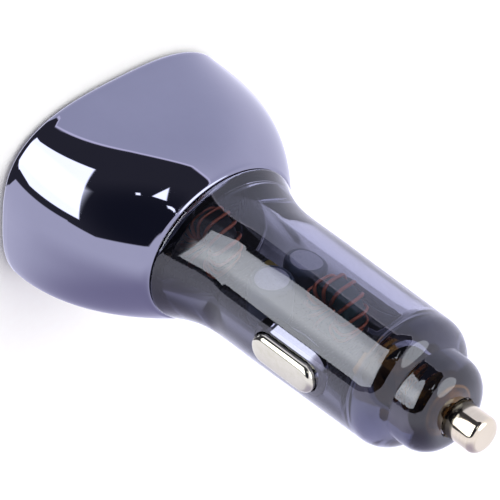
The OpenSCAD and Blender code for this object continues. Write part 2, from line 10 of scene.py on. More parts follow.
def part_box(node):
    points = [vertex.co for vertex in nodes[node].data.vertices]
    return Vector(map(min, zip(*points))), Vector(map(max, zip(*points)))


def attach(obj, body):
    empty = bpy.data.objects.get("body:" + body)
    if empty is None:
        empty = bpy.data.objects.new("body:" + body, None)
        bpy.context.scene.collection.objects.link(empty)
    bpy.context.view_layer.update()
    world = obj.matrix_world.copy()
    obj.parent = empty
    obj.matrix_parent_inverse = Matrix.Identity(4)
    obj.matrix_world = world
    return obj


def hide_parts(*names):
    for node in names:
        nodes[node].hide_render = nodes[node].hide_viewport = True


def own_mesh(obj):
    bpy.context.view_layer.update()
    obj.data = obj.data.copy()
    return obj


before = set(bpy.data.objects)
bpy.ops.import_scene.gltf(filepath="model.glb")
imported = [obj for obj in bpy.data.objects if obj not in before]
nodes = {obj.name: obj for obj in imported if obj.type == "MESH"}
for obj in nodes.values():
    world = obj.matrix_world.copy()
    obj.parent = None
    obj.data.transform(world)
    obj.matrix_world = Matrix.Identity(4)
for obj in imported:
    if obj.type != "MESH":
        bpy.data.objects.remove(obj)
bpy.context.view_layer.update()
MM = 0.001

# Head shell
# The oval grip: one injection-moulded ABS shell, plated in a vacuum with a dark mirror chrome that
# reaches a little way into its mouth; the rest of the inside is bare black ABS. The barrel's
# spigot is pressed into its open top.
HEAD_H = 23.4
HEAD_WALL = 1.8
RIM_ROUND = 1.3
RIM_LAND = 2.2
RIM_SIZE = (41.4, 31.0)
SEAM_SIZE = (27.0, 23.6)
SIDE_BULGE_X = (45.365, 40.6)
SIDE_BULGE_Y = (26.4, 28.6)
SQUARE_RIM = 2.9
SQUARE_MIDDLE = 2.8
PANEL_BACK = 3.0
PANEL_LEDGE = 1.2
# The rounded edge at the seam, as (depth below the top, inset), and the mouth's, as (spread, height)
EDGE_ROUND = ((0.46, 0.0), (0.32, 0.015), (0.2, 0.05), (0.11, 0.12), (0.05, 0.24), (0.03, 0.4))
MOUTH_ROUND = ((0, PANEL_BACK), (0, 0.4), (0.12, 0.12), (0.4, 0))
SEAM_GAP = 0.03
PLATED_RINGS = 10
RING_POINTS = 192
OVAL_POINTS = 2881
RIM_STEPS = 9
SIDE_STEPS = 48
INSIDE_STEPS = 32
LEDGE_STEP = 8
# A fuller form that the shading of the sides leans to, and the heights where it fades in and out
CROWN_BULGE_X = (43.33, 40.52)
CROWN_BULGE_Y = (30.8, 32.8)
CROWN_SQUARE = (3.59, 2.36, 1.83)
HEAD_FADE = ((RIM_ROUND, RIM_ROUND + 0.9), (HEAD_H - 1.0, HEAD_H - 0.5))


def oval(half_x, half_y, square, z):
    """An evenly spaced ring of points on an oval; a square of 2 is an ellipse."""
    t = np.linspace(0, 2 * math.pi, OVAL_POINTS)
    x = half_x * np.sign(np.cos(t)) * np.abs(np.cos(t)) ** (2 / square)
    y = half_y * np.sign(np.sin(t)) * np.abs(np.sin(t)) ** (2 / square)
    run = np.concatenate([[0], np.cumsum(np.hypot(np.diff(x), np.diff(y)))])
    even = np.linspace(0, run[-1], RING_POINTS + 1)[:-1]
    return np.stack([np.interp(even, run, x), np.interp(even, run, y), np.full(len(even), z)], 1)


def head_side(u, inset):
    """The head's side at the share u of its height, drawn in by inset."""
    v = 1 - u
    size = [rim * v**3 + 3 * low * u * v * v + 3 * high * u * u * v + seam * u**3
            for rim, (low, high), seam in zip(RIM_SIZE, (SIDE_BULGE_X, SIDE_BULGE_Y), SEAM_SIZE)]
    square = SQUARE_RIM * v * v + 2 * SQUARE_MIDDLE * u * v + 2 * u * u
    return oval(size[0] / 2 - inset, size[1] / 2 - inset, square, RIM_ROUND + (HEAD_H - RIM_ROUND) * u)


def loft(name, rings, ends, parts=None):
    """A skin through rings of points in mm. ends is "loop" to close it on itself, or "caps".
    parts gives the material number of each band between two rings."""
    size = len(rings[0])
    points = [p for ring in rings for p in ring]
    bands = len(rings) if ends == "loop" else len(rings) - 1
    faces = []
    for k in range(bands):
        a, b = k * size, (k + 1) % len(rings) * size
        faces += [(a + i, a + (i + 1) % size, b + (i + 1) % size, b + i) for i in range(size)]
    if ends == "caps":
        for start, turn in ((0, 1), (len(rings) - 1, -1)):
            centre = len(points)
            points.append(np.mean(rings[start], 0))
            edge = [start * size + i for i in range(size)][::turn]
            faces += [(edge[(i + 1) % size], edge[i], centre) for i in range(size)]
    mesh = bpy.data.meshes.new(name)
    mesh.from_pydata([tuple(MM * c for c in p) for p in points], [], faces)
    for k, part in enumerate(parts or []):
        for face in mesh.polygons[k * size:(k + 1) * size]:
            face.material_index = part
    edit = bmesh.new()
    edit.from_mesh(mesh)
    bmesh.ops.recalc_face_normals(edit, faces=edit.faces)
    edit.to_mesh(mesh)
    edit.free()
    mesh.shade_smooth()
    mesh.set_sharp_from_angle(angle=math.radians(38))
    piece = bpy.data.objects.new(name, mesh)
    bpy.context.scene.collection.objects.link(piece)
    return piece


def colour(code):
    """An sRGB hex colour as linear red, green, blue and alpha."""
    channels = [int(code[i:i + 2], 16) / 255 for i in (1, 3, 5)]
    return [c / 12.92 if c <= 0.04045 else ((c + 0.055) / 1.055) ** 2.4 for c in channels] + [1.0]


def add(tree, kind, inputs=None, **settings):
    """Adds a node with its settings, values and links."""
    node = tree.nodes.new(kind)
    for key, value in settings.items():
        setattr(node, key, value)
    for key, value in (inputs or {}).items():
        if isinstance(value, bpy.types.NodeSocket):
            tree.links.new(value, node.inputs[key])
        else:
            node.inputs[key].default_value = value
    return node


def material(name):
    """A new node material: its tree, its Principled shader and the object's own coordinates."""
    made = bpy.data.materials.new(name)
    made.use_nodes = True
    tree = made.node_tree
    place = add(tree, "ShaderNodeTexCoord").outputs["Object"]
    return made, tree, tree.nodes["Principled BSDF"], place


def every(size):
    """The scale of a pattern whose grains or lines come about every so many mm."""
    return 1 / (size * MM)


# Dark mirror chrome: a clear reflection with a lavender cast, softened here and there by the
# light handling film and the slow ripple that a moulded and plated shell always has.
chrome, tree, skin, place = material("dark_chrome_plated_abs")
skin.inputs["Metallic"].default_value = 1.0
film = add(tree, "ShaderNodeTexNoise", {"Vector": place, "Scale": every(11.11), "Detail": 5.0,
                                        "Roughness": 0.6})
tint = add(tree, "ShaderNodeValToRGB", {"Fac": film.outputs["Fac"]})
tint.color_ramp.elements[0].color = colour("#878795")
tint.color_ramp.elements[1].color = colour("#91919f")
gloss = add(tree, "ShaderNodeMapRange", {"Value": film.outputs["Fac"], "From Min": 0.35, "From Max": 0.8,
                                         "To Min": 0.012, "To Max": 0.05})
ripple = add(tree, "ShaderNodeTexNoise", {"Vector": place, "Scale": every(6.25), "Detail": 1.0})
relief = add(tree, "ShaderNodeBump", {"Height": ripple.outputs["Fac"], "Strength": 0.012,
                                      "Distance": 0.4 * MM})
tree.links.new(tint.outputs["Color"], skin.inputs["Base Color"])
tree.links.new(gloss.outputs["Result"], skin.inputs["Roughness"])
tree.links.new(relief.outputs["Normal"], skin.inputs["Normal"])

# Bare black ABS: a satin moulded surface with a spark-eroded grain, drawn at 0.3 mm, which is
# coarser than the real one so that it shows.
bare_abs, tree, skin, place = material("moulded_black_abs")
grain = add(tree, "ShaderNodeTexNoise", {"Vector": place, "Scale": every(0.3333), "Detail": 3.0})
shade = add(tree, "ShaderNodeValToRGB", {"Fac": grain.outputs["Fac"]})
shade.color_ramp.elements[0].color = colour("#0d0d10")
shade.color_ramp.elements[1].color = colour("#1b1b20")
relief = add(tree, "ShaderNodeBump", {"Height": grain.outputs["Fac"], "Strength": 0.3,
                                      "Distance": 0.04 * MM})
tree.links.new(shade.outputs["Color"], skin.inputs["Base Color"])
tree.links.new(relief.outputs["Normal"], skin.inputs["Normal"])
skin.inputs["Roughness"].default_value = 0.45

outside = []
for k in range(RIM_STEPS):
    t = math.radians(90 * k / RIM_STEPS)
    inset = RIM_ROUND * (1 - math.sin(t))
    height = RIM_ROUND * (1 - math.cos(t))
    outside.append(oval(RIM_SIZE[0] / 2 - inset, RIM_SIZE[1] / 2 - inset, SQUARE_RIM, height))
outside += [head_side(k / SIDE_STEPS, 0) for k in range(SIDE_STEPS - 1)]
outside += [head_side(1 - drop / (HEAD_H - RIM_ROUND), inset) for drop, inset in EDGE_ROUND]
land = [oval(SEAM_SIZE[0] / 2 - HEAD_WALL, SEAM_SIZE[1] / 2 - HEAD_WALL, 2, HEAD_H - SEAM_GAP)]
inside = [head_side(k / INSIDE_STEPS, HEAD_WALL) for k in range(INSIDE_STEPS - 1, LEDGE_STEP - 1, -1)]
ledge_size = [s / 2 - RIM_LAND - PANEL_LEDGE for s in RIM_SIZE]
pocket_size = [s / 2 - RIM_LAND for s in RIM_SIZE]
inside.append(oval(*ledge_size, SQUARE_RIM, PANEL_BACK))
pocket = [oval(pocket_size[0] + spread, pocket_size[1] + spread, SQUARE_RIM, z)
          for spread, z in MOUTH_ROUND]
rings = outside + land + inside + pocket
bare_from = len(outside + land) + PLATED_RINGS
bare_to = len(outside + land + inside)
parts = [1 if bare_from <= k < bare_to else 0 for k in range(len(rings))]
head = loft("head", rings, "loop", parts)


def crowned_head(z):
    """Half sizes and square of the head with faces crowned as the mirror shows them."""
    u = (z - RIM_ROUND) / (HEAD_H - RIM_ROUND)
    v = 1 - u
    half = [(rim * v**3 + 3 * low * u * v * v + 3 * high * u * u * v + seam * u**3) / 2
            for rim, (low, high), seam in zip(RIM_SIZE, (CROWN_BULGE_X, CROWN_BULGE_Y), SEAM_SIZE)]
    rim_square, middle_square, seam_square = CROWN_SQUARE
    return *half, rim_square * v * v + 2 * middle_square * u * v + seam_square * u * u


def crown(piece, form, ring_count, fade_in, fade_out):
    """Leans the shading of a piece's first rings to the faces of a fuller form, fading in and out
    between two heights each. The mesh keeps its outline."""
    mesh = piece.data
    points = np.array([v.co for v in mesh.vertices[:ring_count * RING_POINTS]]) / MM
    used = (points[:, 2] > fade_in[0]) & (points[:, 2] < fade_out[1])
    x, y, z = points[used].T

    def level(x, y, z):
        half_x, half_y, square = form(z)
        return np.abs(x / half_x) ** square + np.abs(y / half_y) ** square

    onto = level(x, y, z) ** (-1 / np.asarray(form(z)[2]))
    x, y = x * onto, y * onto
    step = 0.001
    slope = np.stack([level(x + step, y, z) - level(x - step, y, z),
                      level(x, y + step, z) - level(x, y - step, z),
                      level(x, y, z + step) - level(x, y, z - step)], 1)
    slope /= np.linalg.norm(slope, axis=1)[:, None]
    share = np.interp(z, (*fade_in, *fade_out), (0, 1, 1, 0))
    leant = dict(zip(np.flatnonzero(used).tolist(), zip(share, slope)))
    normals = [corner.vector.copy() for corner in mesh.corner_normals]
    for loop in mesh.loops:
        if loop.vertex_index in leant:
            part, way = leant[loop.vertex_index]
            normals[loop.index] = normals[loop.index].lerp(Vector(way), part).normalized()
    mesh.normals_split_custom_set(normals)


crown(head, crowned_head, len(outside), *HEAD_FADE)
head.data.materials.append(chrome)
head.data.materials.append(bare_abs)
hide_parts("head_shell")
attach(head, "plug")

# Barrel
# The plug body: one clear, smoke-tinted polycarbonate moulding with polished walls, so that the
# electronics show. Its spigot is glued into the head; its slots and nose hold the contacts.
FLARE_H = 8.9
FLARE_CURVE = 1.9
FLARE_STEPS = 28
# The rounded foot of the barrel at the seam, as (inset, rise)
SKIRT = ((0.62, 0.0), (0.4, 0.04), (0.29, 0.12), (0.22, 0.24))
PLUG_Z = HEAD_H + FLARE_H
STRAIGHT_H = 7
# The fuller form that the flare's shading leans to, as (height, power) each way
CROWN_FLARE_X = (10.0, 1.35)
CROWN_FLARE_Y = (9.5, 3.2)
CROWN_FLARE_SQUARE = 2.4
FLARE_FADE = ((HEAD_H + 0.3, HEAD_H + 0.6), (PLUG_Z + 3, PLUG_Z + 6))
COLLAR_DRAFT = 0.24
SHOULDER_Z = 60.1
NOSE_Z = 69.8
CAVITY_Z = 58.2
GUIDE_Z = 67.2
PLUG_R = 10.3
FRONT_R = 10.0
SHOULDER_R = 4.2
COLLAR_R = 7.2
# The neck between shoulder and collar: where they meet, and its rounding as (spread, rise)
NECK_MEET = 0.35
NECK_ROUND = ((0.1, 0.12), (0.0, 0.4))
NOSE_ROUND = 3.9
CAVITY_R = 7.6
CAVITY_ROUND = 1.4
GUIDE_BORE_R = 3.58
GUIDE_LIP = 0.2
TIP_BORE_R = 2.88
TIP_LIP = 0.25
SPIGOT_Z = 18.8
SPIGOT_INSET = 1.9
SPIGOT_WALL = 1.5
SIDE_Z = 47.2
SLOT_SIZE = (12.1, 4.9)
POCKET_SIZE = (13.9, 6.7)
POCKET_X = 8.1
# Where along X each slot, and the pocket behind it, is cut
SLOT_CUT = (POCKET_X - 0.5, 13)
POCKET_CUT = (4.5, POCKET_X)
# How near to the smooth wall, and how alike in facing, a point has to be to take its shading
ON_WALL = 0.002 * MM
SAME_WAY = 0.9
SMOKE_DENSITY = 150.0
# How far the grease reaches past the bore's radius, and where it stops short of the nose's end
GREASE_EDGE = 0.05
GREASE_STOP = 0.3


def flare(u, radius, inset):
    """The flare from the oval seam to a circle, at the share u of its height."""
    w = (1 - u) ** FLARE_CURVE
    half_x = radius + (SEAM_SIZE[0] / 2 - inset - radius) * w
    half_y = radius + (SEAM_SIZE[1] / 2 - inset - radius) * w
    return oval(half_x, half_y, 2, HEAD_H + FLARE_H * u)


def turned(profile):
    """Rings for a profile of (radius, height) pairs."""
    return [oval(r, r, 2, z) for r, z in profile]


def arc(centre_r, centre_z, radius, start, end, steps):
    """Points of a rounding in a turned profile; angles run from the flat to the upright."""
    angles = [math.radians(start + (end - start) * k / steps) for k in range(steps + 1)]
    return [(centre_r + radius * math.cos(a), centre_z + radius * math.sin(a)) for a in angles]


def stadium(length, width, x, points=64):
    """A ring with round ends, long along Z, that looks along X."""
    ring = []
    for k in range(points):
        a = 2 * math.pi * (k + 0.5) / points
        end = (length - width) / 2 * (1 if math.sin(a) > 0 else -1)
        ring.append((x, width / 2 * math.cos(a), SIDE_Z + end + width / 2 * math.sin(a)))
    return np.array(ring)


shoulder_c = FRONT_R - SHOULDER_R
meet = math.degrees(math.acos((COLLAR_R + NECK_MEET - shoulder_c) / SHOULDER_R))
neck_z = SHOULDER_Z + SHOULDER_R * math.sin(math.radians(meet))
straight_z = PLUG_Z + STRAIGHT_H
seam_half = [size / 2 for size in SEAM_SIZE]
outer = [oval(seam_half[0] - inset, seam_half[1] - inset, 2, HEAD_H + rise) for inset, rise in SKIRT]
outer += [flare(k / FLARE_STEPS, PLUG_R, 0) for k in range(2, FLARE_STEPS)]
outer += turned([(PLUG_R, PLUG_Z + STRAIGHT_H * k / 4) for k in range(5)])
outer += turned([(PLUG_R - (PLUG_R - FRONT_R) * k / 10, straight_z + (SHOULDER_Z - straight_z) * k / 10)
                 for k in range(1, 10)])
outer += turned(arc(shoulder_c, SHOULDER_Z, SHOULDER_R, 0, meet, 14))
outer += turned([(COLLAR_R + spread, neck_z + rise) for spread, rise in NECK_ROUND])
outer += turned(arc(COLLAR_R - NOSE_ROUND, NOSE_Z - NOSE_ROUND, NOSE_ROUND, 0, 90, 18))
inner = turned([(TIP_BORE_R + TIP_LIP, NOSE_Z), (TIP_BORE_R, NOSE_Z - TIP_LIP), (TIP_BORE_R, GUIDE_Z)])
inner += turned([(GUIDE_BORE_R, GUIDE_Z), (GUIDE_BORE_R, CAVITY_Z + GUIDE_LIP),
                 (GUIDE_BORE_R + GUIDE_LIP, CAVITY_Z)])
inner += turned(arc(CAVITY_R - CAVITY_ROUND, CAVITY_Z - CAVITY_ROUND, CAVITY_ROUND, 90, 0, 10))
inner += turned([(CAVITY_R, PLUG_Z + (CAVITY_Z - CAVITY_ROUND - PLUG_Z) * k / 12)
                 for k in range(11, -1, -1)])
inner += [flare(k / 20, CAVITY_R, SPIGOT_INSET + SPIGOT_WALL) for k in range(19, -1, -1)]
inner_size = [half - SPIGOT_INSET - SPIGOT_WALL for half in seam_half]
spigot_size = [half - SPIGOT_INSET for half in seam_half]
inner += [oval(*inner_size, 2, SPIGOT_Z), oval(*spigot_size, 2, SPIGOT_Z), oval(*spigot_size, 2, HEAD_H)]
barrel = loft("barrel", outer + inner, "loop")


def crowned_flare(z):
    """Half sizes and square of the flare with sides as full as its reflections show them."""
    radius = np.interp(z, (straight_z, SHOULDER_Z), (PLUG_R, FRONT_R))
    half = [radius + (seam / 2 - radius) * (1 - np.clip((z - HEAD_H) / length, 0, 1)) ** power
            for seam, (length, power) in zip(SEAM_SIZE, (CROWN_FLARE_X, CROWN_FLARE_Y))]
    return *half, 2 + (CROWN_FLARE_SQUARE - 2) * (1 - np.clip((z - HEAD_H) / FLARE_H, 0, 1))


def drafted_collar(z):
    """Half sizes and square of the collar with the draft that lets it leave its mould."""
    radius = COLLAR_R - COLLAR_DRAFT * (z - neck_z)
    return radius, radius, 2.0


collar_fade = ((neck_z + 0.2, neck_z + 0.5), (NOSE_Z - NOSE_ROUND, NOSE_Z - 2.6))
crown(barrel, crowned_flare, len(outer), *FLARE_FADE)
crown(barrel, drafted_collar, len(outer), *collar_fade)
smooth = barrel.data
tree_of_faces = BVHTree.FromPolygons([v.co for v in smooth.vertices], [p.vertices for p in smooth.polygons])
corner_normals = [[smooth.corner_normals[i].vector.copy() for i in p.loop_indices] for p in smooth.polygons]
for side in (-1, 1):
    for size, reach in ((SLOT_SIZE, SLOT_CUT), (POCKET_SIZE, POCKET_CUT)):
        cutter = loft("cutter", [stadium(*size, side * x) for x in reach], "caps")
        cut = barrel.modifiers.new("slot", "BOOLEAN")
        cut.object = cutter
        cut.operation = "DIFFERENCE"
        cut.solver = "EXACT"
        view = bpy.context.evaluated_depsgraph_get()
        opened = bpy.data.meshes.new_from_object(barrel.evaluated_get(view))
        barrel.modifiers.clear()
        barrel.data = opened
        bpy.data.objects.remove(cutter)
barrel.data.name = "barrel"


def shading_of(point, flat):
    """The smooth wall's normal at a point on it, or the face's own where the point is in a slot."""
    near, normal, index, gap = tree_of_faces.find_nearest(point)
    if gap > ON_WALL or abs(normal.dot(flat)) < SAME_WAY:
        return None
    face = smooth.polygons[index]
    corners = [smooth.vertices[i].co for i in face.vertices]
    weights = [1 / max((near - c).length, 1e-9) ** 2 for c in corners]
    mixed = sum((n * w for n, w in zip(corner_normals[index], weights)), Vector())
    return mixed.normalized()


normals = [Vector()] * len(barrel.data.loops)
for face in barrel.data.polygons:
    own = shading_of(face.center, face.normal)
    for i in face.loop_indices:
        point = barrel.data.vertices[barrel.data.loops[i].vertex_index].co
        normals[i] = (own and shading_of(point, face.normal)) or face.normal.copy()
barrel.data.normals_split_custom_set(normals)

# Smoked polycarbonate: polished walls with a sharp reflection, and a grey-lavender tint that
# deepens where the wall is seen edge on. Faint flow marks run along it from the mould's gate.
smoked, tree, skin, place = material("smoked_clear_polycarbonate")
skin.inputs["IOR"].default_value = 1.58
skin.inputs["Transmission Weight"].default_value = 1.0
skin.inputs["Base Color"].default_value = colour("#d3d3da")
skin.inputs["Coat Weight"].default_value = 0.3
skin.inputs["Coat Roughness"].default_value = 0.0
drawn_out = add(tree, "ShaderNodeMapping", {"Vector": place, "Scale": (1.0, 1.0, 0.15)})
flow = add(tree, "ShaderNodeTexNoise", {"Vector": drawn_out.outputs["Vector"], "Scale": every(3.846),
                                        "Detail": 3.0})
gloss = add(tree, "ShaderNodeMapRange", {"Value": flow.outputs["Fac"], "To Min": 0.0, "To Max": 0.012})
relief = add(tree, "ShaderNodeBump", {"Height": flow.outputs["Fac"], "Strength": 0.003,
                                      "Distance": 0.2 * MM})
tree.links.new(gloss.outputs["Result"], skin.inputs["Roughness"])
tree.links.new(relief.outputs["Normal"], skin.inputs["Normal"])
smoke = add(tree, "ShaderNodeVolumeAbsorption", {"Color": colour("#8487a2"), "Density": SMOKE_DENSITY})
tree.links.new(smoke.outputs["Volume"], tree.nodes["Material Output"].inputs["Volume"])

# The guide bore is packed with clear contact grease, so its wall neither bends nor mirrors light
# and the brass and bronze parts show. Only thin streaks in the grease tint it.
greased, tree, skin, place = material("clear_contact_grease")
streaks = add(tree, "ShaderNodeTexNoise", {"Vector": place, "Scale": every(1.111), "Detail": 2.0})
haze = add(tree, "ShaderNodeValToRGB", {"Fac": streaks.outputs["Fac"]})
haze.color_ramp.elements[0].color = colour("#e2dccf")
haze.color_ramp.elements[1].color = colour("#fbf8f2")
clear = add(tree, "ShaderNodeBsdfTransparent", {"Color": haze.outputs["Color"]})
tree.links.new(clear.outputs["BSDF"], tree.nodes["Material Output"].inputs["Surface"])
barrel.data.materials.clear()
barrel.data.materials.append(smoked)
barrel.data.materials.append(greased)
for face in barrel.data.polygons:
    off_axis = math.hypot(face.center.x, face.center.y) / MM
    if off_axis < GUIDE_BORE_R + GREASE_EDGE and CAVITY_Z < face.center.z / MM < NOSE_Z - GREASE_STOP:
        face.material_index = 1
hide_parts("barrel")
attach(barrel, "plug")

# Tip contact
# The sprung centre pin: turned brass, nickel-plated with a faint champagne cast, with a bare guide
# collar behind that slides in the nose and a bore for its spring.
TIP_Z = 75.1
TIP_R = 2.8
TIP_ROUND = 1.1
TIP_NECK = 0.1
TIP_NECK_H = 0.3
AXIS_R = 0.02
# The end face, as (radius, drop)
TIP_FACE = ((1.2, 0.004), (0.6, 0), (AXIS_R, 0))
GUIDE_R = 3.5
GUIDE_H = 2.2
GUIDE_EDGE = 0.2
GUIDE_BANDS = 5
SEAT_GAP = 0.03
TIP_BACK_R = 2.2
BORE_STOP = 1
BORE_EDGE = 0.15
tip_back = GUIDE_Z - GUIDE_H
bore_end = NOSE_Z - BORE_STOP
neck_r = TIP_R - TIP_NECK
bore_profile = [(AXIS_R, bore_end), (TIP_BACK_R - BORE_EDGE, bore_end), (TIP_BACK_R, bore_end - BORE_EDGE),
                (TIP_BACK_R, tip_back + BORE_EDGE)]
tip_profile = [(TIP_BACK_R + BORE_EDGE, tip_back), (GUIDE_R - GUIDE_EDGE, tip_back),
               (GUIDE_R, tip_back + GUIDE_EDGE), (GUIDE_R, GUIDE_Z - GUIDE_EDGE),
               (GUIDE_R - GUIDE_EDGE, GUIDE_Z - SEAT_GAP), (neck_r, GUIDE_Z - SEAT_GAP),
               (neck_r, NOSE_Z - TIP_NECK_H), (TIP_R, NOSE_Z)]
tip_profile += arc(TIP_R - TIP_ROUND, TIP_Z - TIP_ROUND, TIP_ROUND, 0, 82, 14)
tip_profile += [(r, TIP_Z - drop) for r, drop in TIP_FACE]
bare_bands = len(bore_profile) + GUIDE_BANDS
parts = [1 if k < bare_bands else 0 for k in range(len(bore_profile + tip_profile) - 1)]
tip = loft("tip_pin", turned(bore_profile + tip_profile), "caps", parts)

nickel, tree, skin, place = material("nickel_plated_turned_brass")
skin.inputs["Metallic"].default_value = 1.0
turning = add(tree, "ShaderNodeMapping", {
    "Vector": place, "Scale": (every(16.67), every(16.67), every(0.1111))})
lines = add(tree, "ShaderNodeTexNoise", {"Vector": turning.outputs["Vector"], "Scale": 1.0, "Detail": 4.0})
cast = add(tree, "ShaderNodeValToRGB", {"Fac": lines.outputs["Fac"]})
cast.color_ramp.elements[0].color = colour("#cdc1a4")
cast.color_ramp.elements[1].color = colour("#e5dbc2")
gloss = add(tree, "ShaderNodeMapRange", {"Value": lines.outputs["Fac"], "To Min": 0.06, "To Max": 0.16})
relief = add(tree, "ShaderNodeBump", {"Height": lines.outputs["Fac"], "Strength": 0.08,
                                      "Distance": 0.02 * MM})
tree.links.new(cast.outputs["Color"], skin.inputs["Base Color"])
tree.links.new(gloss.outputs["Result"], skin.inputs["Roughness"])
tree.links.new(relief.outputs["Normal"], skin.inputs["Normal"])

# Turned brass: warm yellow, with the rings that the tool leaves about every tenth of a millimetre.
# The guide collar and the bore of the pin are left bare.
brass, tree, skin, place = material("turned_brass")
skin.inputs["Metallic"].default_value = 1.0
turning = add(tree, "ShaderNodeMapping", {
    "Vector": place, "Scale": (every(5.0), every(5.0), every(0.1111))})
lines = add(tree, "ShaderNodeTexNoise", {"Vector": turning.outputs["Vector"], "Scale": 1.0, "Detail": 3.0})
cast = add(tree, "ShaderNodeValToRGB", {"Fac": lines.outputs["Fac"]})
cast.color_ramp.elements[0].color = colour("#a87428")
cast.color_ramp.elements[1].color = colour("#dcac58")
gloss = add(tree, "ShaderNodeMapRange", {"Value": lines.outputs["Fac"], "To Min": 0.12, "To Max": 0.3})
tree.links.new(cast.outputs["Color"], skin.inputs["Base Color"])
tree.links.new(gloss.outputs["Result"], skin.inputs["Roughness"])

tip.data.materials.append(nickel)
tip.data.materials.append(brass)
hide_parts("tip_contact")
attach(tip, "tip")

# Side contacts
# The two earth contacts: pills pressed from nickel-plated sheet, open behind, with a flange
# that stops each in its slot. A leaf spring on the board pushes each one out.
SIDE_L = 11.8
SIDE_W = 4.6
SIDE_X = 11.3
SIDE_ROUND = 0.9
SIDE_CROWN = 0.06
FLANGE = 0.9
FLANGE_T = 0.6
SHEET_T = 0.5
# The dull bands of the pill, from the foot of its hollow to the root of its face, painted darker as shade
# in the pocket
SHADED_FLANGE_BANDS = range(3, 9)
flange_x = POCKET_X - FLANGE_T
sheet_x = SIDE_X - SHEET_T
hollow = -2 * SHEET_T
brim = 2 * FLANGE
# Each ring of a pill, as (growth beyond its face's outline, distance from the axis)
pill_profile = [(hollow - 2, sheet_x), (hollow - 0.6, sheet_x), (hollow, sheet_x - 0.4), (hollow, flange_x),
                (brim - 0.2, flange_x), (brim, flange_x + 0.1), (brim, POCKET_X - 0.15),
                (brim - 0.2, POCKET_X - 0.03), (0.2, POCKET_X - 0.03), (0, POCKET_X + 0.12)]
pill_profile += [(2 * (inset - SIDE_ROUND), SIDE_X - SIDE_ROUND - SIDE_CROWN + height)
                 for inset, height in arc(0, 0, SIDE_ROUND, 0, 86, 12)]
pill_profile += [(-2 * inset, SIDE_X - SIDE_CROWN + rise)
                 for inset, rise in ((1.2, 0.02), (1.6, 0.04), (2.0, 0.052))]

# Pressed and plated sheet: bright, with faint clouds of wear a millimetre or two across.
pressed, tree, skin, place = material("nickel_plated_pressed_steel")
skin.inputs["Metallic"].default_value = 1.0
wear = add(tree, "ShaderNodeTexNoise", {"Vector": place, "Scale": every(1.429), "Detail": 6.0,
                                        "Roughness": 0.65})
cast = add(tree, "ShaderNodeValToRGB", {"Fac": wear.outputs["Fac"]})
cast.color_ramp.elements[0].color = colour("#c8c4aa")
cast.color_ramp.elements[1].color = colour("#dedac6")
gloss = add(tree, "ShaderNodeMapRange", {"Value": wear.outputs["Fac"], "To Min": 0.05, "To Max": 0.14})
relief = add(tree, "ShaderNodeBump", {"Height": wear.outputs["Fac"], "Strength": 0.04,
                                      "Distance": 0.03 * MM})
tree.links.new(cast.outputs["Color"], skin.inputs["Base Color"])
tree.links.new(gloss.outputs["Result"], skin.inputs["Roughness"])
tree.links.new(relief.outputs["Normal"], skin.inputs["Normal"])

# The flange keeps the dull face and the marks of the press tool, about 2 mm long. Its darker tone is
# painted shade for where it sits in the pocket behind the barrel's wall.
tooled_and_shaded, tree, skin, place = material("nickel_plated_flange_painted_shade")
skin.inputs["Metallic"].default_value = 1.0
drawn = add(tree, "ShaderNodeMapping", {"Vector": place, "Scale": (every(0.25), every(0.25), every(2.0))})
marks = add(tree, "ShaderNodeTexNoise", {"Vector": drawn.outputs["Vector"], "Scale": 1.0, "Detail": 4.0})
cast = add(tree, "ShaderNodeValToRGB", {"Fac": marks.outputs["Fac"]})
# The dark end of this ramp is painted shade; the streaks along it are the tool marks
cast.color_ramp.elements[0].color = colour("#7c7872")
cast.color_ramp.elements[1].color = colour("#c4bfb6")
gloss = add(tree, "ShaderNodeMapRange", {"Value": marks.outputs["Fac"], "To Min": 0.3, "To Max": 0.55})
tree.links.new(cast.outputs["Color"], skin.inputs["Base Color"])
tree.links.new(gloss.outputs["Result"], skin.inputs["Roughness"])

for side, word in ((-1, "left"), (1, "right")):
    pill = [stadium(SIDE_L + growth, SIDE_W + growth, side * x) for growth, x in pill_profile]
    parts = [1 if k in SHADED_FLANGE_BANDS else 0 for k in range(len(pill) - 1)]
    contact = loft(word + "_pill", pill, "caps", parts)
    contact.data.materials.append(pressed)
    contact.data.materials.append(tooled_and_shaded)
    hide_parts(word + "_contact")
    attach(contact, word + "_button")

# Springs and terminal
# Behind the tip: a coiled bronze spring on a turned brass stud, soldered to the board's end.
# Behind each side contact: a bowed strip of stainless spring steel with a lug on the board.
SPRING_WIRE = 0.3
SPRING_R = 1.75
SPRING_TURNS = 6
SPRING_LOW = 59.4
SPRING_HIGH = 68.8
# How far the top coil's wire lies under its seat
SPRING_SEAT = 0.32
# How strongly the helix slows at its ends, so that the end coils lie flat
FLAT_ENDS = 0.0833
TURN_POINTS = 32.0


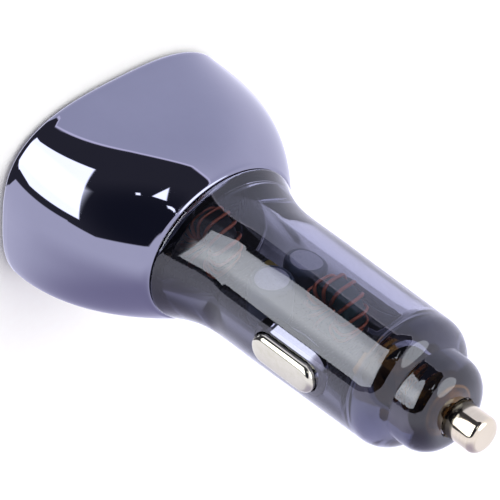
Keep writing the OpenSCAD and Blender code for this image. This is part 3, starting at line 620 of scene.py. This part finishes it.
def along_path(name, inputs, shape, wire, finish):
    """A wire along a path worked out in a node tree. shape turns the tree, its input node and
    the share along the path into a position; wire is the radius of the wire in mm."""
    group = bpy.data.node_groups.new(name, "GeometryNodeTree")
    group.interface.new_socket("Geometry", in_out="OUTPUT", socket_type="NodeSocketGeometry")
    sizes = {**inputs, "Wire radius": wire}
    sockets = {}
    for key in sizes:
        sockets[key] = group.interface.new_socket(key, in_out="INPUT", socket_type="NodeSocketFloat")
    given = add(group, "NodeGroupInput")
    points = add(group, "ShaderNodeMath", {0: given.outputs["Turns"], 1: TURN_POINTS}, operation="MULTIPLY")
    line = add(group, "GeometryNodeCurvePrimitiveLine")
    fine = add(group, "GeometryNodeResampleCurve", {
        "Curve": line.outputs["Curve"], "Count": points.outputs[0]})
    share = add(group, "GeometryNodeSplineParameter").outputs["Factor"]
    bent = add(group, "GeometryNodeSetPosition", {
        "Geometry": fine.outputs["Curve"], "Position": shape(group, given.outputs, share)})
    round_wire = add(group, "GeometryNodeCurvePrimitiveCircle", {
        "Resolution": 10, "Radius": given.outputs["Wire radius"]})
    swept = add(group, "GeometryNodeCurveToMesh", {
        "Curve": bent.outputs["Geometry"], "Profile Curve": round_wire.outputs["Curve"], "Fill Caps": True})
    scaled = add(group, "GeometryNodeTransform", {"Geometry": swept.outputs["Mesh"], "Scale": (MM, MM, MM)})
    soft = add(group, "GeometryNodeSetShadeSmooth", {"Geometry": scaled.outputs["Geometry"]})
    real = add(group, "GeometryNodeRealizeInstances", {"Geometry": soft.outputs["Geometry"]})
    dressed = add(group, "GeometryNodeSetMaterial", {
        "Geometry": real.outputs["Geometry"], "Material": finish})
    out = add(group, "NodeGroupOutput")
    group.links.new(dressed.outputs["Geometry"], out.inputs["Geometry"])
    maker = bpy.data.objects.new(name, bpy.data.meshes.new(name))
    bpy.context.scene.collection.objects.link(maker)
    step = maker.modifiers.new(name, "NODES")
    step.node_group = group
    for key, value in sizes.items():
        step[sockets[key].identifier] = float(value)
    view = bpy.context.evaluated_depsgraph_get()
    maker.data = bpy.data.meshes.new_from_object(maker.evaluated_get(view))
    maker.modifiers.clear()
    maker.data.name = name
    return maker


def coil(group, given, share):
    """A helix about the plug's axis whose end coils lie flat."""
    turn = add(group, "ShaderNodeMath", {0: share, 1: given["Turns"]}, operation="MULTIPLY")
    angle = add(group, "ShaderNodeMath", {0: turn.outputs[0], 1: math.tau}, operation="MULTIPLY")
    whole = add(group, "ShaderNodeMath", {0: share, 1: math.tau}, operation="MULTIPLY")
    wave = add(group, "ShaderNodeMath", {0: whole.outputs[0]}, operation="SINE")
    rise = add(group, "ShaderNodeMath", {0: wave.outputs[0], 1: -FLAT_ENDS, 2: share},
               operation="MULTIPLY_ADD")
    height = add(group, "ShaderNodeMapRange", {"Value": rise.outputs[0], "To Min": given["Low"],
                                               "To Max": given["High"]}, clamp=False)
    cosine = add(group, "ShaderNodeMath", {0: angle.outputs[0]}, operation="COSINE")
    sine = add(group, "ShaderNodeMath", {0: angle.outputs[0]}, operation="SINE")
    x = add(group, "ShaderNodeMath", {0: cosine.outputs[0], 1: given["Radius"]}, operation="MULTIPLY")
    y = add(group, "ShaderNodeMath", {0: sine.outputs[0], 1: given["Radius"]}, operation="MULTIPLY")
    return add(group, "ShaderNodeCombineXYZ", {"X": x.outputs[0], "Y": y.outputs[0],
                                               "Z": height.outputs["Result"]}).outputs[0]


# Phosphor bronze wire: bright and reddish, drawn, with dull streaks where the coils have rubbed.
bronze, tree, skin, place = material("drawn_phosphor_bronze")
skin.inputs["Metallic"].default_value = 1.0
rub = add(tree, "ShaderNodeTexNoise", {"Vector": place, "Scale": every(0.6667), "Detail": 3.0})
cast = add(tree, "ShaderNodeValToRGB", {"Fac": rub.outputs["Fac"]})
cast.color_ramp.elements[0].color = colour("#8a4c26")
cast.color_ramp.elements[1].color = colour("#c88450")
gloss = add(tree, "ShaderNodeMapRange", {"Value": rub.outputs["Fac"], "To Min": 0.15, "To Max": 0.4})
tree.links.new(cast.outputs["Color"], skin.inputs["Base Color"])
tree.links.new(gloss.outputs["Result"], skin.inputs["Roughness"])
spring = along_path("tip_coil", {"Turns": SPRING_TURNS, "Radius": SPRING_R, "Low": SPRING_LOW,
                                 "High": SPRING_HIGH - SPRING_SEAT}, coil, SPRING_WIRE, bronze)
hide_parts("tip_spring")
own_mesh(spring)
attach(spring, "plug")

# Spring steel strip: grey and satin, with rolling lines along it.
strip_steel, tree, skin, place = material("rolled_spring_steel")
skin.inputs["Metallic"].default_value = 1.0
rolling = add(tree, "ShaderNodeMapping", {
    "Vector": place, "Scale": (every(0.1667), every(0.1667), every(3.333))})
lines = add(tree, "ShaderNodeTexNoise", {"Vector": rolling.outputs["Vector"], "Scale": 1.0, "Detail": 2.0})
cast = add(tree, "ShaderNodeValToRGB", {"Fac": lines.outputs["Fac"]})
cast.color_ramp.elements[0].color = colour("#a9aaad")
cast.color_ramp.elements[1].color = colour("#dcdcdf")
tree.links.new(cast.outputs["Color"], skin.inputs["Base Color"])
skin.inputs["Roughness"].default_value = 0.28
nodes["terminal_stud"].data.materials.clear()
nodes["terminal_stud"].data.materials.append(brass)
LEAF_T = 0.2
LEAF_W = 4.0
LEAF_L = 6.35
LEAF_EDGE = 0.05
LEAF_STEPS = 48
LUG_Y = (-2.85, -0.2, 0.0)
LUG_HALF = 1
leaf_section = [(LEAF_EDGE, 0), (LEAF_W - LEAF_EDGE, 0), (LEAF_W, LEAF_EDGE), (LEAF_W, LEAF_T - LEAF_EDGE),
                (LEAF_W - LEAF_EDGE, LEAF_T), (LEAF_EDGE, LEAF_T), (0, LEAF_T - LEAF_EDGE), (0, LEAF_EDGE)]
lug_section = [(0, -LUG_HALF), (LEAF_T, -LUG_HALF), (LEAF_T, LUG_HALF), (0, LUG_HALF)]
for side, word in ((-1, "left"), (1, "right")):
    low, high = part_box(word + "_leaf")
    root_x, top_x = (low.x / MM, high.x / MM) if side > 0 else (-high.x / MM, -low.x / MM)
    bow = top_x - root_x - LEAF_T
    rings = []
    for k in range(LEAF_STEPS + 1):
        v = 2 * k / LEAF_STEPS - 1
        x, z = top_x - bow * (1 - v * v), SIDE_Z + v * LEAF_L
        lean = Vector((2 * bow * v, 0, LEAF_L)).normalized()
        across = Vector((lean.z, 0, -lean.x))
        ring = []
        for y, depth in leaf_section:
            point = Vector((x, y - LEAF_W / 2, z)) - across * depth
            ring.append((side * point.x, point.y, point.z))
        rings.append(ring)
    leaf = loft(word + "_strip", rings, "caps")
    leaf.data.materials.append(strip_steel)
    lug_rings = [[(side * (root_x + out), y, SIDE_Z + rise) for out, rise in lug_section] for y in LUG_Y]
    lug = loft(word + "_lug", lug_rings, "caps")
    lug.data.materials.append(strip_steel)
    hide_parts(word + "_leaf")
    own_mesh(leaf)
    for piece in (leaf, lug):
        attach(piece, "plug")

# Circuit board
# One glass-epoxy board, milled to a T: wide in the head for the ports, narrow in the barrel. Its
# copper lies under a near-black solder mask and shows as low, lighter fields of 3.6 by 1.1 mm.
board, tree, skin, place = material("solder_masked_glass_epoxy")
face = add(tree, "ShaderNodeMapping", {"Vector": place, "Rotation": (math.radians(90), 0, 0)})
tracks = add(tree, "ShaderNodeTexBrick", {
    "Vector": face.outputs["Vector"], "Scale": every(4.0), "Mortar Size": 0.05, "Brick Width": 0.9,
    "Row Height": 0.28, "Color1": colour("#10181c"), "Color2": colour("#131d22"),
    "Mortar": colour("#080c0e")})
gloss = add(tree, "ShaderNodeMapRange", {"Value": tracks.outputs["Fac"], "To Min": 0.25, "To Max": 0.4})
relief = add(tree, "ShaderNodeBump", {"Height": tracks.outputs["Fac"], "Strength": 0.4,
                                      "Distance": 0.03 * MM})
tree.links.new(tracks.outputs["Color"], skin.inputs["Base Color"])
tree.links.new(gloss.outputs["Result"], skin.inputs["Roughness"])
tree.links.new(relief.outputs["Normal"], skin.inputs["Normal"])
nodes["main_board"].data.materials.clear()
nodes["main_board"].data.materials.append(board)

# Chokes
# Two pressed toroid cores on edge, each wound by hand with one enamelled copper wire whose ends
# are soldered to the board. The one by the head is black ferrite, the other green iron powder.
CORE_HOLE = 3.6
CORE_ROUND = 1.0
CORE_STEPS = 72
CORE_CORNERS = ((1, 1), (-1, 1), (-1, -1), (1, -1))
WIRE_R = 0.27
WIRE_OFF = 0.3
# The wire hugs the core's rounded section: its waves are raised to this power to square them
WRAP_POWER = 0.588
# Degrees round the core, from its nose side, where the wire starts and ends
WOUND_FROM = -70
WOUND_TO = 250


def core_finish(name, dark, light):
    """Pressed and painted powder: matt, with the speckle of coarse grains under the coat."""
    made, tree, skin, place = material(name)
    speck = add(tree, "ShaderNodeTexNoise", {"Vector": place, "Scale": every(0.3846), "Detail": 4.0})
    shade = add(tree, "ShaderNodeValToRGB", {"Fac": speck.outputs["Fac"]})
    shade.color_ramp.elements[0].color = colour(dark)
    shade.color_ramp.elements[1].color = colour(light)
    relief = add(tree, "ShaderNodeBump", {"Height": speck.outputs["Fac"], "Strength": 0.5,
                                          "Distance": 0.05 * MM})
    tree.links.new(shade.outputs["Color"], skin.inputs["Base Color"])
    tree.links.new(relief.outputs["Normal"], skin.inputs["Normal"])
    skin.inputs["Roughness"].default_value = 0.5
    return made


def winding(group, given, share):
    """A wire wound round a core of rounded section, from one foot to the other."""
    turn = add(group, "ShaderNodeMath", {0: share, 1: given["Turns"]}, operation="MULTIPLY")
    spin = add(group, "ShaderNodeMath", {0: turn.outputs[0], 1: math.tau}, operation="MULTIPLY")
    reach = []
    for wave, size in (("COSINE", "Half band"), ("SINE", "Half width")):
        raw = add(group, "ShaderNodeMath", {0: spin.outputs[0]}, operation=wave)
        bare = add(group, "ShaderNodeMath", {0: raw.outputs[0]}, operation="ABSOLUTE")
        full = add(group, "ShaderNodeMath", {0: bare.outputs[0], 1: WRAP_POWER}, operation="POWER")
        way = add(group, "ShaderNodeMath", {0: raw.outputs[0]}, operation="SIGN")
        both = add(group, "ShaderNodeMath", {0: full.outputs[0], 1: way.outputs[0]}, operation="MULTIPLY")
        reach.append(add(group, "ShaderNodeMath", {0: both.outputs[0], 1: given[size]},
                         operation="MULTIPLY"))
    radius = add(group, "ShaderNodeMath", {0: reach[0].outputs[0], 1: given["Middle"]}, operation="ADD")
    angle = add(group, "ShaderNodeMapRange", {
        "Value": share, "To Min": math.radians(WOUND_FROM), "To Max": math.radians(WOUND_TO)})
    spots = []
    for wave, centre in (("SINE", "Centre Y"), ("COSINE", "Centre Z")):
        part = add(group, "ShaderNodeMath", {0: angle.outputs["Result"]}, operation=wave)
        spots.append(add(group, "ShaderNodeMath", {
            0: part.outputs[0], 1: radius.outputs[0], 2: given[centre]}, operation="MULTIPLY_ADD"))
    x = add(group, "ShaderNodeMath", {0: reach[1].outputs[0], 1: given["Centre X"]}, operation="ADD")
    return add(group, "ShaderNodeCombineXYZ", {"X": x.outputs[0], "Y": spots[0].outputs[0],
                                               "Z": spots[1].outputs[0]}).outputs[0]


# Enamelled copper: bright orange-pink under a clear varnish, darker where the varnish is thick.
copper, tree, skin, place = material("enamelled_copper_wire")
skin.inputs["Metallic"].default_value = 0.85
varnish = add(tree, "ShaderNodeTexNoise", {"Vector": place, "Scale": every(1.111), "Detail": 3.0})
cast = add(tree, "ShaderNodeValToRGB", {"Fac": varnish.outputs["Fac"]})
cast.color_ramp.elements[0].color = colour("#b8522a")
cast.color_ramp.elements[1].color = colour("#f09468")
tree.links.new(cast.outputs["Color"], skin.inputs["Base Color"])
skin.inputs["Roughness"].default_value = 0.3
skin.inputs["Coat Weight"].default_value = 0.6
skin.inputs["Coat Roughness"].default_value = 0.1
for word, turn_count, dark, light, slot in (("input", 13, "#0a0b0a", "#1b1d1c", "black_core"),
                                            ("output", 11, "#1c4440", "#356a62", "green_core")):
    low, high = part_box(word + "_core")
    middle = (low + high) / 2 / MM
    size = (high - low) / MM
    band = (size.y - CORE_HOLE) / 4
    centre_r = (size.y + CORE_HOLE) / 4
    section = []
    for corner, (sign_r, sign_x) in enumerate(CORE_CORNERS):
        for k in range(7):
            a = math.radians(90 * corner + 15 * k)
            section.append((sign_r * (band - CORE_ROUND) + CORE_ROUND * math.cos(a),
                            sign_x * (size.x / 2 - CORE_ROUND) + CORE_ROUND * math.sin(a)))
    rings = []
    for k in range(CORE_STEPS):
        a = math.tau * k / CORE_STEPS
        rings.append([(middle.x + x, middle.y + (centre_r + r) * math.sin(a),
                       middle.z + (centre_r + r) * math.cos(a)) for r, x in section])
    core = loft(word + "_toroid", rings, "loop")
    core.data.materials.append(core_finish(slot + "_powder", dark, light))
    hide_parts(word + "_core")
    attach(core, "plug")
    turns = along_path(word + "_turns", {
        "Turns": turn_count, "Middle": centre_r, "Half band": band + WIRE_OFF,
        "Half width": size.x / 2 + WIRE_OFF, "Centre X": middle.x, "Centre Y": middle.y,
        "Centre Z": middle.z}, winding, WIRE_R, copper)
    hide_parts(word + "_winding")
    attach(turns, "plug")

# Capacitors
# Two aluminium electrolytic cans stand side by side on the board in shrunk sleeves. Each has a
# crimp over its rubber bung, a rolled edge and a bare, slightly dished top.
CAN_ROLL = 0.75
CAN_FOOT = 0.4
CRIMP_AT = 1.3
CRIMP_HALF = 0.35
CRIMP_IN = 0.12
CRIMP_RISE = 0.3
TOP_GAP = 0.02
TOP_EDGE = 0.12


def standing(profile, middle, foot):
    """Rings for a turned profile that stands on the board, its axis along Y."""
    return [ring[:, [0, 2, 1]] * [1, 1, -1] + [middle.x, foot, middle.z] for ring in turned(profile)]


# Shrunk PET film: smooth and slate blue, gently uneven where it has drawn tight round the can.
sleeve, tree, skin, place = material("shrunk_pet_sleeve")
creep = add(tree, "ShaderNodeTexNoise", {"Vector": place, "Scale": every(1.429), "Detail": 2.0})
shade = add(tree, "ShaderNodeValToRGB", {"Fac": creep.outputs["Fac"]})
shade.color_ramp.elements[0].color = colour("#46566a")
shade.color_ramp.elements[1].color = colour("#62748a")
relief = add(tree, "ShaderNodeBump", {"Height": creep.outputs["Fac"], "Strength": 0.2,
                                      "Distance": 0.1 * MM})
tree.links.new(shade.outputs["Color"], skin.inputs["Base Color"])
tree.links.new(relief.outputs["Normal"], skin.inputs["Normal"])
skin.inputs["Roughness"].default_value = 0.3

# Drawn aluminium: pale and satin, with the fine mottle that deep drawing leaves.
can_metal, tree, skin, place = material("drawn_aluminium_can")
skin.inputs["Metallic"].default_value = 1.0
drawing = add(tree, "ShaderNodeTexNoise", {"Vector": place, "Scale": every(0.4545), "Detail": 4.0})
cast = add(tree, "ShaderNodeValToRGB", {"Fac": drawing.outputs["Fac"]})
cast.color_ramp.elements[0].color = colour("#b9babd")
cast.color_ramp.elements[1].color = colour("#e6e7ea")
tree.links.new(cast.outputs["Color"], skin.inputs["Base Color"])
skin.inputs["Roughness"].default_value = 0.38
for word in ("input", "output"):
    low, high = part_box(word + "_can")
    middle = (low + high) / 2 / MM
    radius = (high.x - low.x) / 2 / MM
    height = (high.y - low.y) / MM
    foot = low.y / MM
    recess = height - CAN_ROLL / 2
    profile = [(AXIS_R, 0), (radius - 0.5, 0), (radius - 0.1, 0.12), (radius, CAN_FOOT),
               (radius, CRIMP_AT - CRIMP_HALF)]
    profile += [(radius - CRIMP_IN * (1 + math.cos(a)), CRIMP_AT + CRIMP_RISE * math.sin(a))
                for a in [math.radians(30 * k) for k in range(-2, 3)]]
    profile += [(radius, CRIMP_AT + CRIMP_HALF)]
    profile += arc(radius - CAN_ROLL, height - CAN_ROLL, CAN_ROLL, 0, 90, 10)
    profile += [(radius - CAN_ROLL - 0.08, height - 0.1), (radius - CAN_ROLL - 0.1, recess),
                (AXIS_R, recess)]
    can = loft(word + "_sleeve", standing(profile, middle, foot), "caps")
    can.data.materials.append(sleeve)
    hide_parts(word + "_can")
    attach(can, "plug")
    disc_r = radius - CAN_ROLL - TOP_GAP
    disc = [(AXIS_R, recess), (disc_r, recess), (disc_r, height - TOP_EDGE)]
    disc += arc(disc_r - TOP_EDGE, height - TOP_EDGE, TOP_EDGE, 0, 90, 5)
    disc += [(disc_r * 0.6, height - 0.02), (disc_r * 0.3, height - 0.04), (AXIS_R, height - 0.05)]
    top = loft(word + "_can_disc", standing(disc, middle, foot), "caps")
    top.data.materials.append(can_metal)
    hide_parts(word + "_can_top")
    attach(top, "plug")


# Ports, panel, fuse and chips
# Two ports of stamped shells, black tongues and gold-plated strips stand in a gloss black front
# panel. The yellow resettable fuse, the moulded chips and the ceramic parts are soldered to the
# board.
def moulded(name, dark, light, roughness):
    """A moulded or dipped part: a fine grain of its filler under a soft sheen."""
    made, tree, skin, place = material(name)
    filler = add(tree, "ShaderNodeTexNoise", {"Vector": place, "Scale": every(0.2857), "Detail": 3.0})
    shade = add(tree, "ShaderNodeValToRGB", {"Fac": filler.outputs["Fac"]})
    shade.color_ramp.elements[0].color = colour(dark)
    shade.color_ramp.elements[1].color = colour(light)
    relief = add(tree, "ShaderNodeBump", {"Height": filler.outputs["Fac"], "Strength": 0.3,
                                          "Distance": 0.03 * MM})
    tree.links.new(shade.outputs["Color"], skin.inputs["Base Color"])
    tree.links.new(relief.outputs["Normal"], skin.inputs["Normal"])
    skin.inputs["Roughness"].default_value = roughness
    return made


def sheet_metal(name, dark, light, roughness):
    """Plated or rolled sheet: cloudy in tone, with a satin shine."""
    made, tree, skin, place = material(name)
    skin.inputs["Metallic"].default_value = 1.0
    cloud = add(tree, "ShaderNodeTexNoise", {"Vector": place, "Scale": every(1.25), "Detail": 5.0})
    cast = add(tree, "ShaderNodeValToRGB", {"Fac": cloud.outputs["Fac"]})
    cast.color_ramp.elements[0].color = colour(dark)
    cast.color_ramp.elements[1].color = colour(light)
    gloss = add(tree, "ShaderNodeMapRange", {"Value": cloud.outputs["Fac"], "To Min": roughness * 0.7,
                                             "To Max": roughness * 1.3})
    tree.links.new(cast.outputs["Color"], skin.inputs["Base Color"])
    tree.links.new(gloss.outputs["Result"], skin.inputs["Roughness"])
    return made


finishes = {
    "fuse": moulded("dipped_yellow_epoxy", "#b89a1c", "#d8c040", 0.35),
    "controller_chip": moulded("moulded_chip_epoxy", "#121214", "#26262a", 0.5),
    "power_chips": moulded("moulded_chip_epoxy_large", "#121214", "#26262a", 0.5),
    "chip_capacitors": moulded("fired_ceramic", "#8a7250", "#b89c74", 0.4),
    "face_panel": moulded("gloss_black_polycarbonate", "#050506", "#0c0c0e", 0.08),
    "usb_a_tongue": moulded("moulded_black_lcp", "#0c0c0d", "#1a1a1c", 0.5),
    "usb_c_tongue": moulded("moulded_black_lcp_small", "#0c0c0d", "#1a1a1c", 0.5),
    "usb_a_shell": sheet_metal("stamped_tinned_steel", "#a8a9ac", "#d6d7da", 0.25),
    "usb_c_shell": sheet_metal("drawn_stainless_steel", "#a8a9ac", "#d6d7da", 0.2),
    "usb_a_contacts": sheet_metal("gold_plated_strip", "#c9993c", "#f0cf86", 0.2),
    "usb_c_contacts": sheet_metal("gold_plated_strip_small", "#c9993c", "#f0cf86", 0.2),
}
for name, finish in finishes.items():
    nodes[name].data.materials.clear()
    nodes[name].data.materials.append(finish)

# Studio
# A white tent with one large soft box, and the dark opening that the camera looks through. The
# plain pale floor lights the object, but only the tent shows in the mirror plating.
# Where the camera stands, and its own right, up and backward directions
CAMERA_AT = Vector((-0.27773, 0.32807, 0.30243))
right = Vector((0.73185, 0.05413, 0.67931))
up = Vector((0.40643, 0.76548, -0.49886))
back = Vector((-0.54700, 0.64118, 0.53822))
SENSOR = 36.0
FOCAL_LENGTH = 264.77
lens = bpy.data.cameras.new("camera")
lens.sensor_width = SENSOR
lens.lens = FOCAL_LENGTH
lens.clip_start = 0.01
lens.clip_end = 20.0
camera = bpy.data.objects.new("camera", lens)
camera.matrix_world = Matrix.Translation(CAMERA_AT) @ Matrix((right, up, back)).transposed().to_4x4()
bpy.context.scene.collection.objects.link(camera)
bpy.context.scene.camera = camera

# The floor is a wide sheet of matt, faintly warm paper that lies just under the head's rim.
FLOOR_HALF = 3.0
FLOOR_DROP = 0.2 * MM
edit = bmesh.new()
bmesh.ops.create_grid(edit, x_segments=8, y_segments=8, size=FLOOR_HALF)
floor_mesh = bpy.data.meshes.new("floor")
edit.to_mesh(floor_mesh)
edit.free()
floor = bpy.data.objects.new("floor", floor_mesh)
floor.data.transform(Matrix.Translation((0, 0, -FLOOR_DROP)))
bpy.context.scene.collection.objects.link(floor)
floor.visible_glossy = False
floor.visible_transmission = False
paper, tree, skin, place = material("pale_paper_sweep")
fibre = add(tree, "ShaderNodeTexNoise", {"Vector": place, "Scale": every(1.111), "Detail": 2.0})
shade = add(tree, "ShaderNodeValToRGB", {"Fac": fibre.outputs["Fac"]})
shade.color_ramp.elements[0].color = colour("#fdf9e7")
shade.color_ramp.elements[1].color = colour("#fffdeb")
tree.links.new(shade.outputs["Color"], skin.inputs["Base Color"])
skin.inputs["Roughness"].default_value = 0.9
floor.data.materials.append(paper)


def toward(x, y):
    """The direction of a point on the tent. x and y run right and up round the camera's opening,
    and 1 is a quarter turn away from it."""
    spread = 1 + x * x + y * y
    return (right * 2 * x + up * 2 * y + back * (1 - x * x - y * y)) / spread


def patch(tree, ray, corners, softness):
    """A mask that is 1 inside a panel of the tent whose corners bulge outwards only."""
    mask = None
    middle_x, middle_y = np.mean(corners, 0)
    for (ax, ay), (bx, by) in zip(corners, corners[1:] + corners[:1]):
        in_x, in_y = (ay - by, bx - ax) / np.hypot(bx - ax, by - ay)
        if in_x * (middle_x - ax) + in_y * (middle_y - ay) < 0:
            in_x, in_y = -in_x, -in_y
        level = in_x * ax + in_y * ay
        edge = right * in_x + up * in_y - back * level
        side = add(tree, "ShaderNodeVectorMath", {0: ray, 1: edge}, operation="DOT_PRODUCT")
        step = add(tree, "ShaderNodeMapRange", {
            "Value": side.outputs["Value"], "From Min": level - softness, "From Max": level + softness},
                   interpolation_type="SMOOTHSTEP")
        if mask is None:
            mask = step.outputs["Result"]
        else:
            mask = add(tree, "ShaderNodeMath", {0: mask, 1: step.outputs["Result"]},
                       operation="MINIMUM").outputs["Value"]
    return mask


def glow(tree, ray, centre, wide, narrow):
    """A mask that is 1 within narrow degrees of a direction and 0 beyond wide degrees."""
    level = add(tree, "ShaderNodeVectorMath", {0: ray, 1: centre}, operation="DOT_PRODUCT")
    return add(tree, "ShaderNodeMapRange", {
        "Value": level.outputs["Value"], "From Min": math.cos(math.radians(wide)),
        "From Max": math.cos(math.radians(narrow))}, interpolation_type="SMOOTHSTEP").outputs["Result"]


# Tones of the tent: its cloth, the bright hem, the gloom behind the camera's opening, the lamps,
# and, for the smoked plastic only, the dark table edge behind it and the stray light in its wall.
CLOTH = (1.20, 1.20, 1.48, 1.0)
CLOTH_TOP = (0.92, 0.94, 1.22, 1.0)
CLOTH_LOW = (0.55, 0.52, 0.78, 1.0)
HEM_TONE = (1.6, 1.55, 1.95, 1.0)
GLOOM = (0.06, 0.06, 0.082, 1.0)
GLOOM_LOW = (0.02, 0.022, 0.04, 1.0)
LAMP = (3.6, 3.75, 4.2, 1.0)
LAMP_CORE = (5.8, 6.0, 6.5, 1.0)
BEHIND = (0.03, 0.036, 0.066, 1.0)
STRAY = (0.55, 0.54, 0.66, 1.0)
# The part of a lamp's light that is lost on its way through the smoked plastic
LOST_INSIDE = 0.7
# Corners of the panels that the mirror plating shows, right and up round the camera's opening
HEM = (((-0.17, 0.8), (0.0, 0.715), (0.25, 0.55), (0.33, 0.37), (0.1, 0.0), (-0.17, 0.0)),)
OPENING = (((-0.17, 0.765), (0.0, 0.69), (0.24, 0.53), (0.31, 0.36), (0.13, 0.0), (0.0, -0.29),
            (-0.27, -0.328), (-0.45, -0.278), (-0.6, 0.4)),
           ((-0.17, 0.765), (-0.3, -0.29), (-1.122, -0.178), (-3.0, 0.2), (-3.0, 1.2), (-1.3, 1.8)))
SOFT_BOX = (((-0.37, 0.52), (-0.15, 0.37), (-0.34, -0.21), (-0.78, -0.11), (-0.86, 0.02), (-0.8, 0.25),
             (-0.5, 0.47)),)
TUBES = (((-0.26, 0.1), (-0.34, -0.06), (-0.72, 0.16), (-0.46, 0.42)),)
GAPS = (((0.055, 0.13), (0.1, 0.1), (0.12, 0.23)),
        ((-0.002, 0.152), (0.014, 0.152), (0.014, 0.13), (-0.002, 0.13)),
        ((0.098, 0.058), (0.124, 0.046), (0.128, 0.026), (0.1, 0.036)))
low_side = (right * -0.13 + up * -0.94 + back * -0.33).normalized()
table_edge = (right * -0.3 - up).normalized()
far_side = (up * -0.28 - back).normalized()
gloom_low = toward(0.0, -0.1)
lamp_disc = toward(0.46, 0.05)

world = bpy.data.worlds.new("tent")
world.use_nodes = True
bpy.context.scene.world = world
tree = world.node_tree
light = tree.nodes["Background"]
ray = add(tree, "ShaderNodeTexCoord").outputs["Generated"]


def blend(under, over, mask):
    """One tone of the tent over another, as far as the mask lets it through."""
    mix = add(tree, "ShaderNodeMix", {"Factor": mask, "A": under, "B": over}, data_type="RGBA")
    return mix.outputs["Result"]


def times(a, b):
    """Two masks multiplied."""
    return add(tree, "ShaderNodeMath", {0: a, 1: b}, operation="MULTIPLY").outputs["Value"]


shine = CLOTH
for centre, tone, wide, narrow in ((up, CLOTH_TOP, 60, 5), (low_side, CLOTH_LOW, 55, 5)):
    shine = blend(shine, tone, glow(tree, ray, centre, wide, narrow))
dusk = blend(GLOOM, GLOOM_LOW, glow(tree, ray, gloom_low, 45, 5))
inward = add(tree, "ShaderNodeLightPath").outputs["Is Transmission Ray"]
dim = add(tree, "ShaderNodeMath", {0: inward, 1: -LOST_INSIDE, 2: 1.0},
          operation="MULTIPLY_ADD").outputs["Value"]
for panels, tone, softness in ((HEM, HEM_TONE, 0.01), (OPENING, dusk, 0.012), (SOFT_BOX, LAMP, 0.01),
                               (TUBES, LAMP_CORE, 0.14), (GAPS, LAMP, 0.006)):
    mask = None
    for corners in panels:
        one = patch(tree, ray, list(corners), softness)
        mask = one if mask is None else add(tree, "ShaderNodeMath", {0: mask, 1: one},
                                            operation="MAXIMUM").outputs["Value"]
    shine = blend(shine, tone, times(mask, dim) if tone in (LAMP, LAMP_CORE) else mask)
shine = blend(shine, LAMP, times(glow(tree, ray, lamp_disc, 24, 21), dim))
for centre, tone, wide, narrow, part in ((back, STRAY, 75, 35, 0.85), (table_edge, BEHIND, 125, 50, 0.7),
                                         (far_side, BEHIND, 40, 14, 1.0)):
    shine = blend(shine, tone, times(times(glow(tree, ray, centre, wide, narrow), inward), part))
tree.links.new(shine, light.inputs["Color"])
bpy.context.scene.view_settings.view_transform = "Standard"
